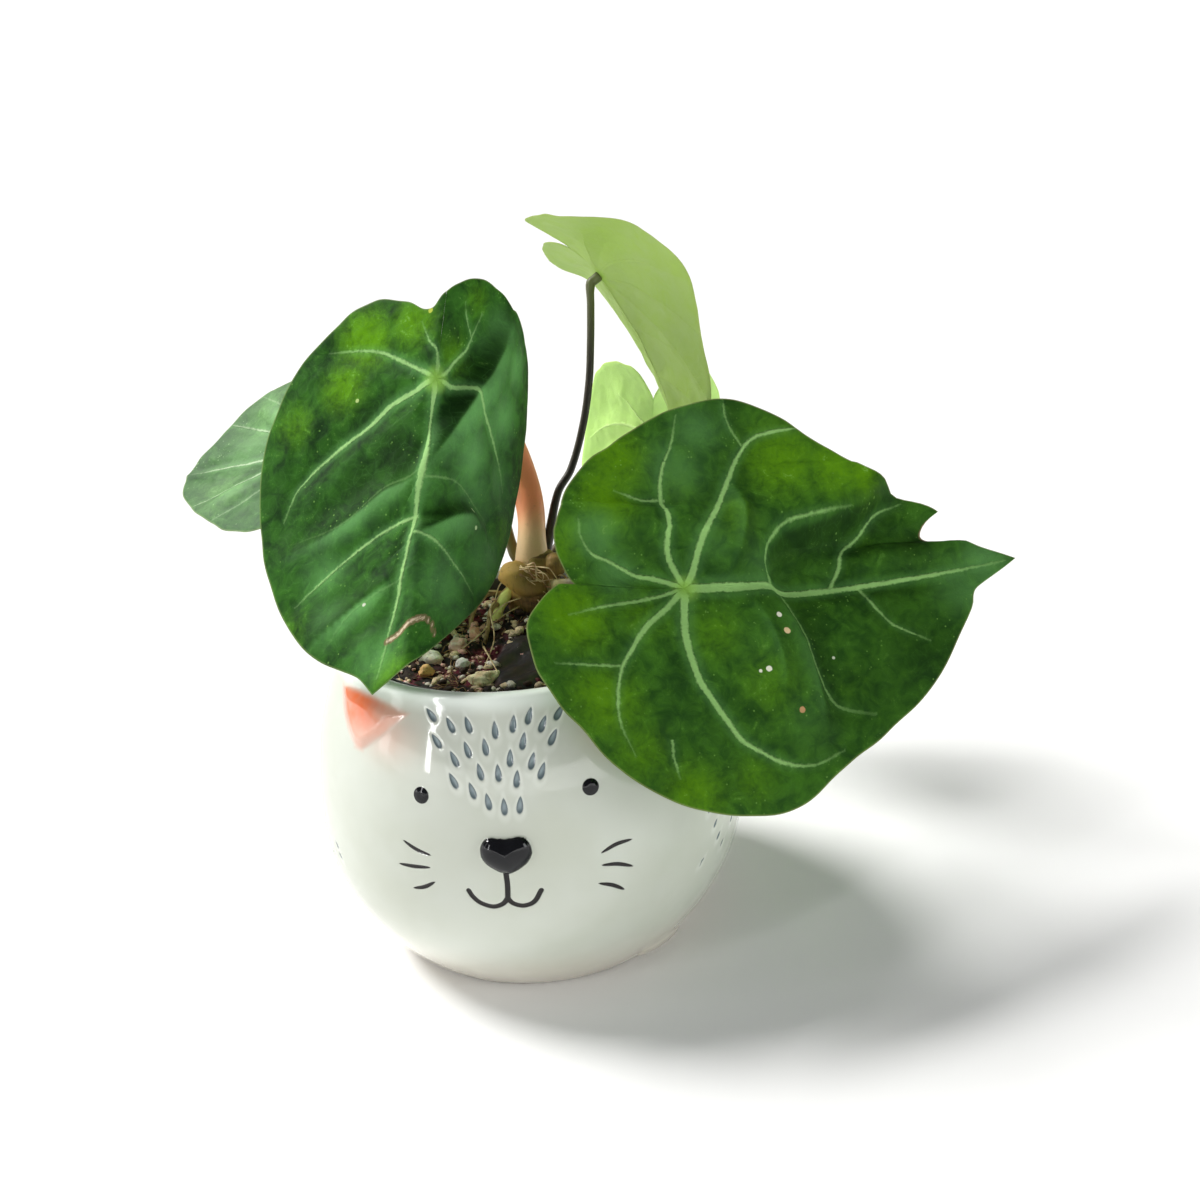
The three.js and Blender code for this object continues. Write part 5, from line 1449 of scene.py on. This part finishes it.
def make_blade(name, leaf, settings):
    """One blade as a closed thin shell. Spokes and rings run from the joint to the margin; both faces
    stand off the middle sheet by half the thickness, which thins out at the margin. Between the veins
    the sheet swells, and along creases it rises."""
    radius, bearing, edge = blade_grid(leaf, settings.spokes, round(settings.rings * RING_SHARES[name]))
    s = radius * np.cos(np.radians(bearing))
    w = radius * np.sin(np.radians(bearing))

    veins = leaf_veins(name, leaf)
    vectors = {}
    nearest = np.full(s.shape, 99.0)
    for k, (route, start, end, strength) in enumerate(veins):
        side, plain, along = across_route(smooth_route(route, 110), s, w)
        half = 0.84 * (start + (end - start) * along) * smooth(edge, -0.5, 3)
        half = np.where((plain > np.abs(side) + 1.2) | (plain > 7), -1.0, half)
        shown = strength * (1 - 0.7 * smooth(along, 0.72, 1))
        vectors[f"vein_{k:02d}"] = np.stack([side, half, shown], -1)
        nearest = np.minimum(nearest, plain + (1 - strength) * 3)
    swell = 1 - np.exp(-((nearest / 5) ** 2))
    flat = np.stack([s, w, 0 * s], -1)
    crease, shade, sheen = crease_fields(name, s, w)
    relief = settings.quilting / MM * (swell - 0.5) + crease
    relief += 0.16 * ripples(flat[..., :2], 9, 7) + 0.07 * ripples(flat[..., :2], 4, 8)
    relief = relief * smooth(radius, HUB_RADIUS, 9) * (0.35 + 0.65 * smooth(edge, 0, 8))

    shifted = w + np.where(s > 0, 0.5 * leaf["sideways"] * s * s / 1000, 0)
    step = 0.25
    along = blade_sheet(leaf, s + step, shifted) - blade_sheet(leaf, s - step, shifted)
    beside = blade_sheet(leaf, s, shifted + step) - blade_sheet(leaf, s, shifted - step)
    normal = np.cross(along, beside)
    normal /= np.linalg.norm(normal, axis=-1)[..., None]
    middle = blade_sheet(leaf, s, shifted) + normal * relief[..., None]
    half = BLADE_THICKNESS / 2 * (0.25 + 0.75 * smooth(edge, -0.1, 1.4))[..., None]
    rib = 0.35 * np.exp(-((nearest / 1.2) ** 2))[..., None] * smooth(edge, 0, 10)[..., None]
    upper = middle + normal * half
    lower = middle - normal * (half + rib)

    joint = blade_sheet(leaf, np.zeros(1), np.zeros(1))[0]
    up = leaf_axes(leaf)[2]
    ends = [joint + up * BLADE_THICKNESS / 2, joint - up * (BLADE_THICKNESS / 2 + 0.3)]
    points = np.concatenate([upper.reshape(-1, 3), lower.reshape(-1, 3), ends])

    def both(values, at_joint):
        return np.concatenate([values.ravel(), values.ravel(), [at_joint, at_joint]])

    numbers = {
        "edge": both(edge, 9),
        "patch": both(patch_field(PATCHES[name], s, w), 0),
        # Painted sheen from the sheen patches and the creases' pale sides; painted shade from the shade
        # patches and the creases' dark sides.
        "cool": both(np.maximum(patch_field(PAINTED_SHEEN_PATCHES[name], s, w), sheen), 0),
        "hollow": both(np.maximum(patch_field(PAINTED_SHADE_PATCHES[name], s, w), shade), 0),
        "upper": np.concatenate([np.ones(s.size), np.zeros(s.size), [1, 0]]),
    }
    if name == "leaf_a":
        _, plain, _ = across_route(smooth_route(SCAR, 80), s, w)
        numbers["scar"] = both(plain, 9)
    if "bite" in leaf:
        start, end, _ = leaf["bite"]
        beyond = np.abs(bearing - (start + end) / 2) - (end - start) / 2
        numbers["scar"] = both(np.maximum(edge, 0) + 0.35 + 2 * np.maximum(beyond + 0.6, 0), 9)
    vectors["flat"] = flat
    vectors = {key: np.concatenate([v.reshape(-1, 3), v.reshape(-1, 3), np.zeros((2, 3))])
               for key, v in vectors.items()}
    material = blade_material(f"{name}_skin", LOOKS[name], len(veins), SPOTS.get(name, []),
                              "scar" in numbers, GLOSS[name])
    faces = shell_faces(*s.shape)
    piece = make_object(f"{name}_skin", points, faces, material, numbers, vectors)
    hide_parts(name)
    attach(piece, "root")


# Stalks. Each has its colours at the foot, in the middle and at the top.
STALK_COLOURS = {
    "petiole_a": (srgb(240, 200, 152), srgb(255, 152, 106), srgb(120, 128, 70)),
    "petiole_b": (srgb(168, 160, 104), srgb(96, 88, 52), srgb(120, 140, 72)),
    "petiole_c": (srgb(64, 50, 40), srgb(44, 38, 31), srgb(96, 104, 62)),
    "petiole_d": (srgb(90, 74, 50), srgb(92, 88, 50), srgb(150, 180, 96)),
    "petiole_e": (srgb(120, 104, 54), srgb(92, 92, 46), srgb(120, 140, 84)),
}


def make_stalk(name, stalk):
    """One stalk: a tube from its foot in the stem along its route to the underside of its blade, tapered
    by its list of radii, faintly ribbed, and a little thicker at both ends."""
    leaf = LEAVES[stalk["leaf"]]
    up = leaf_axes(leaf)[2]
    joint = blade_sheet(leaf, np.zeros(1), np.zeros(1))[0]
    below = [joint - up * reach for reach in (stalk["approach"], 2.3, BLADE_THICKNESS / 2)]
    rings, sides = 130, 32
    route = smooth_route([stalk["foot"], *stalk["route"], *below], rings)
    run = np.concatenate([[0], np.cumsum(np.linalg.norm(np.diff(route, axis=0), axis=1))])
    foot = math.dist(stalk["foot"], stalk["route"][0])
    share = np.clip((run - foot) / (run[-1] - foot), 0, 1)
    radius = through(np.linspace(0, 1, len(stalk["radii"])), stalk["radii"], share)
    radius = radius * (1 + 0.22 * smooth(share, 0.9, 0.97) + 0.3 * np.exp(-((run / 7) ** 2)))
    turn = 2 * np.pi * np.arange(sides) / sides
    ribs = 1 + 0.02 * np.sin(turn * 5)[None, :] + 0.012 * ripples(route / 4, 3, 3)[:, None]
    rings_of_points = tube_rings(route, radius[:, None] * ribs, sides)
    points, faces = closed_surface(rings_of_points)
    centred = rings_of_points - route[:, None]
    # The round attribute marks one side of the stalk, which the material darkens as painted shade.
    left = -centred[..., 0] / np.maximum(radius[:, None], 0.5) * 0.5 + 0.5
    along = np.repeat(share[:, None], sides, 1)
    material = stalk_material(f"{name}_skin", *STALK_COLOURS[name])
    numbers = {"along": with_ends(along), "round": with_ends(left)}
    piece = make_object(f"{name}_skin", points, faces, material, numbers)
    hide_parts(name)
    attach(piece, "root")


# Camera, floor and lights. Area lights have their place, target and size in metres; their watts are
# settings.
CAMERA_AZIMUTH = 4.06
CAMERA_ELEVATION = 21.11
CAMERA_ROLL = -4.78
CAMERA_DISTANCE = 435.8
CAMERA_TARGET = (25.5, 0, 101.5)
FOCAL_PIXELS = 1472.7
IMAGE_PIXELS = 1200
SENSOR_MM = 36
FLOOR_HALF = 16000
BACKDROP_RADIUS = 14000
BACKDROP_RISE = [-60, 800, 2200]
KEY_PLACE = (-0.84, 0.38, 1.0)
KEY_ANGLE = 22
LAMPS = {
    "window": {"place": (-1.15, -0.3, 0.55), "target": (0, 0, 0.09), "size": (0.16, 0.9), "tint": (1, 1, 1)},
    "front": {"place": (-1.15, -1.05, 0.7), "target": (0, 0, 0.1), "size": (0.09, 1.1), "tint": (1, 1, 1)},
    "side": {"place": (1.2, -0.55, 0.46), "target": (0, 0, 0.12), "size": (0.5, 0.5), "tint": (0.95, 1, 1)},
}


def make_camera():
    """The photograph's camera: round the target by azimuth and elevation, then rolled."""
    azimuth, elevation, roll = np.radians([CAMERA_AZIMUTH, CAMERA_ELEVATION, CAMERA_ROLL])
    level_reach = np.cos(elevation)
    back = np.array([np.sin(azimuth) * level_reach, -np.cos(azimuth) * level_reach, np.sin(elevation)])
    level = np.cross(-back, (0, 0, 1))
    level /= np.linalg.norm(level)
    upright = np.cross(level, -back)
    right = level * np.cos(roll) + upright * np.sin(roll)
    up = upright * np.cos(roll) - level * np.sin(roll)
    camera = bpy.data.objects.new("camera", bpy.data.cameras.new("camera"))
    bpy.context.scene.collection.objects.link(camera)
    eye = (np.array(CAMERA_TARGET) + back * CAMERA_DISTANCE) * MM
    camera.matrix_world = Matrix([[right[k], up[k], back[k], eye[k]] for k in range(3)] + [[0, 0, 0, 1]])
    camera.data.sensor_width = SENSOR_MM
    camera.data.lens = FOCAL_PIXELS / IMAGE_PIXELS * SENSOR_MM
    camera.data.clip_start = 0.01
    bpy.context.scene.camera = camera


def make_light(name, kind, place, target, energy, colour):
    """A light of a kind at a place, facing a target, in metres. The lamp's own data is returned."""
    lamp = bpy.data.lights.new(name, kind)
    lamp.energy = energy
    lamp.color = colour
    light = bpy.data.objects.new(name, lamp)
    bpy.context.scene.collection.objects.link(light)
    back = np.array(place) - np.array(target)
    back /= np.linalg.norm(back)
    right = np.cross((0, 0, 1), back)
    right /= np.linalg.norm(right)
    up = np.cross(back, right)
    light.matrix_world = Matrix([[right[k], up[k], back[k], place[k]] for k in range(3)] + [[0, 0, 0, 1]])
    return lamp


def make_backdrop():
    """A low white lit wall far off, in a ring round the part."""
    columns = 73
    turn = np.radians(np.linspace(-180, 180, columns))
    rise = np.repeat(np.array(BACKDROP_RISE, float)[:, None], columns, 1)
    ring = np.stack([np.sin(turn), np.cos(turn)], -1) * BACKDROP_RADIUS
    grid = np.concatenate([np.tile(ring, (3, 1, 1)), rise[..., None]], -1)
    g = Graph("backdrop_paper", Base_Color=(0.9, 0.9, 0.9, 1), Emission_Color=(1, 1, 1, 1),
              Emission_Strength=1.0)
    cloud = g.noise(g.place(), 0.5, 2)
    g.finish(Roughness=0.9 + 0.05 * cloud)
    faces = [ring_faces(3, columns, closed=False)]
    wall = make_object("backdrop", grid.reshape(-1, 3), faces, g.material)
    wall.visible_shadow = False


def make_floor(settings):
    """A wide pale floor, a little below the pot's foot."""
    x = np.linspace(-FLOOR_HALF, FLOOR_HALF, 9)
    grid = np.stack([*np.meshgrid(x, x), np.full((9, 9), -0.05)], -1)
    g = Graph("floor_paper", Specular_IOR_Level=0.15)
    cloud = g.noise(g.place(), 2.0, 2)
    colour = g.mix(cloud * 0.15, settings.floor, (0.92, 0.92, 0.92))
    g.finish(Base_Color=colour, Roughness=0.9 + 0.05 * cloud)
    make_object("floor", grid.reshape(-1, 3), [ring_faces(9, 9, closed=False)], g.material)


def make_stage(settings):
    """Floor and backdrop, even light, a wide key light from behind at the left, three lamps and the
    camera."""
    make_floor(settings)
    make_backdrop()
    world = bpy.data.worlds.new("studio")
    world.use_nodes = True
    world.node_tree.nodes["Background"].inputs["Color"].default_value = (1, 1, 1, 1)
    world.node_tree.nodes["Background"].inputs["Strength"].default_value = settings.ambient
    scene = bpy.context.scene
    scene.world = world
    scene.view_settings.view_transform = "Standard"
    sun = make_light("key", "SUN", KEY_PLACE, (0, 0, 0), settings.key, (1, 0.99, 0.97))
    sun.angle = math.radians(KEY_ANGLE)
    for name, lamp in LAMPS.items():
        watts = getattr(settings, name)
        light = make_light(name, "AREA", lamp["place"], lamp["target"], watts, lamp["tint"])
        light.shape = "RECTANGLE"
        light.size, light.size_y = lamp["size"]
    make_camera()


# Add-on.
def colour_property(name, description, default):
    return bpy.props.FloatVectorProperty(
        name=name, description=description, default=default, size=3, subtype="COLOR", min=0, max=1)


def length_property(name, description, default):
    return bpy.props.FloatProperty(
        name=name, description=description, default=default, unit="LENGTH", min=0, precision=4)


class PotSettings(bpy.types.PropertyGroup):
    glaze: colour_property("Glaze", "Colour of the glaze", srgb(200, 205, 194))
    glaze_shade: colour_property("Glaze shade", "Second colour, in soft clouds", srgb(193, 198, 184))
    ear: colour_property("Ears", "Airbrushed colour of the ears", srgb(232, 112, 62))
    dash: colour_property("Dashes", "Colour of the sunk dashes", srgb(134, 150, 154))
    ink: colour_property("Ink", "Colour of mouth and whiskers", srgb(24, 20, 20))
    face_step: length_property("Face step", "Mesh spacing at the face", 0.00037)


class SoilSettings(bpy.types.PropertyGroup):
    grain_count: bpy.props.IntProperty(
        name="Grains", description="Small stones on the mix", default=1250, min=1)
    fibre_count: bpy.props.IntProperty(
        name="Fibres", description="Loose fibres on the mix", default=150, min=1)


class StemSettings(bpy.types.PropertyGroup):
    stem: colour_property("Stem", "Colour of the stem's skin", srgb(166, 132, 74))


class LeafSettings(bpy.types.PropertyGroup):
    spokes: bpy.props.IntProperty(name="Spokes", description="Steps round each blade", default=300, min=24)
    rings: bpy.props.IntProperty(name="Rings", description="Steps from joint to margin", default=112, min=8)
    quilting: length_property("Quilting", "How far the blade swells between its veins", 0.0011)


class StageSettings(bpy.types.PropertyGroup):
    floor: colour_property("Floor", "Colour of the floor", (0.96, 0.96, 0.96))
    ambient: bpy.props.FloatProperty(
        name="Ambient", description="Strength of the even light", default=0.13, min=0)
    key: bpy.props.FloatProperty(
        name="Key", description="Strength of the wide key light", default=3.95, min=0)
    window: bpy.props.FloatProperty(
        name="Window", description="Window light in watts", default=0.9, min=0, unit="POWER")
    front: bpy.props.FloatProperty(
        name="Front", description="Front light in watts", default=5.2, min=0, unit="POWER")
    side: bpy.props.FloatProperty(
        name="Side", description="Side light in watts", default=3.6, min=0, unit="POWER")


class BuildPot(bpy.types.Operator):
    """Build the glazed pot and the grow pot inside it"""

    bl_idname = "anthurium.build_pot"
    bl_label = "Pot"

    def execute(self, context):
        make_pot(context.scene.anthurium_pot)
        make_grow_pot()
        return {"FINISHED"}


class BuildSoil(bpy.types.Operator):
    """Build the potting mix with its grains and fibres"""

    bl_idname = "anthurium.build_soil"
    bl_label = "Mix"

    def execute(self, context):
        make_soil(context.scene.anthurium_soil)
        return {"FINISHED"}


class BuildPebbles(bpy.types.Operator):
    """Build the pumice pebbles"""

    bl_idname = "anthurium.build_pebbles"
    bl_label = "Pebbles"

    def execute(self, context):
        make_pebbles()
        return {"FINISHED"}


class BuildStem(bpy.types.Operator):
    """Build the stem, its buds and its roots"""

    bl_idname = "anthurium.build_stem"
    bl_label = "Stem and roots"

    def execute(self, context):
        make_stem(context.scene.anthurium_stem)
        make_roots()
        make_hair_roots()
        return {"FINISHED"}


class BuildStalks(bpy.types.Operator):
    """Build the five leaf stalks"""

    bl_idname = "anthurium.build_stalks"
    bl_label = "Stalks"

    def execute(self, context):
        for name, stalk in STALKS.items():
            make_stalk(name, stalk)
        return {"FINISHED"}


class BuildLeaves(bpy.types.Operator):
    """Build the five veined blades"""

    bl_idname = "anthurium.build_leaves"
    bl_label = "Blades"

    def execute(self, context):
        for name, leaf in LEAVES.items():
            make_blade(name, leaf, context.scene.anthurium_leaf)
        return {"FINISHED"}


class BuildStage(bpy.types.Operator):
    """Set up the floor, the lights and the camera"""

    bl_idname = "anthurium.build_stage"
    bl_label = "Stage"

    def execute(self, context):
        make_stage(context.scene.anthurium_stage)
        return {"FINISHED"}


SETTINGS = {
    "anthurium_pot": PotSettings,
    "anthurium_soil": SoilSettings,
    "anthurium_stem": StemSettings,
    "anthurium_leaf": LeafSettings,
    "anthurium_stage": StageSettings,
}
OPERATORS = [BuildStage, BuildPot, BuildSoil, BuildPebbles, BuildStem, BuildStalks, BuildLeaves]


class AnthuriumPanel(bpy.types.Panel):
    """Lists the pieces and their settings"""

    bl_idname = "VIEW3D_PT_anthurium"
    bl_label = "Potted Anthurium"
    bl_space_type = "VIEW_3D"
    bl_region_type = "UI"
    bl_category = "Anthurium"

    def draw(self, context):
        for operator in OPERATORS:
            self.layout.operator(operator.bl_idname)
        for key, group in SETTINGS.items():
            box = self.layout.box()
            for setting in group.__annotations__:
                box.prop(getattr(context.scene, key), setting)


def register():
    for group in (*SETTINGS.values(), *OPERATORS, AnthuriumPanel):
        bpy.utils.register_class(group)
    for key, group in SETTINGS.items():
        setattr(bpy.types.Scene, key, bpy.props.PointerProperty(type=group))


def unregister():
    for key in SETTINGS:
        delattr(bpy.types.Scene, key)
    for group in (AnthuriumPanel, *OPERATORS, *SETTINGS.values()):
        bpy.utils.unregister_class(group)


def main():
    register()
    bpy.ops.anthurium.build_stage()
    bpy.ops.anthurium.build_pot()
    bpy.ops.anthurium.build_soil()
    bpy.ops.anthurium.build_pebbles()
    bpy.ops.anthurium.build_stem()
    bpy.ops.anthurium.build_stalks()
    bpy.ops.anthurium.build_leaves()


if __name__ == "__main__":
    main()
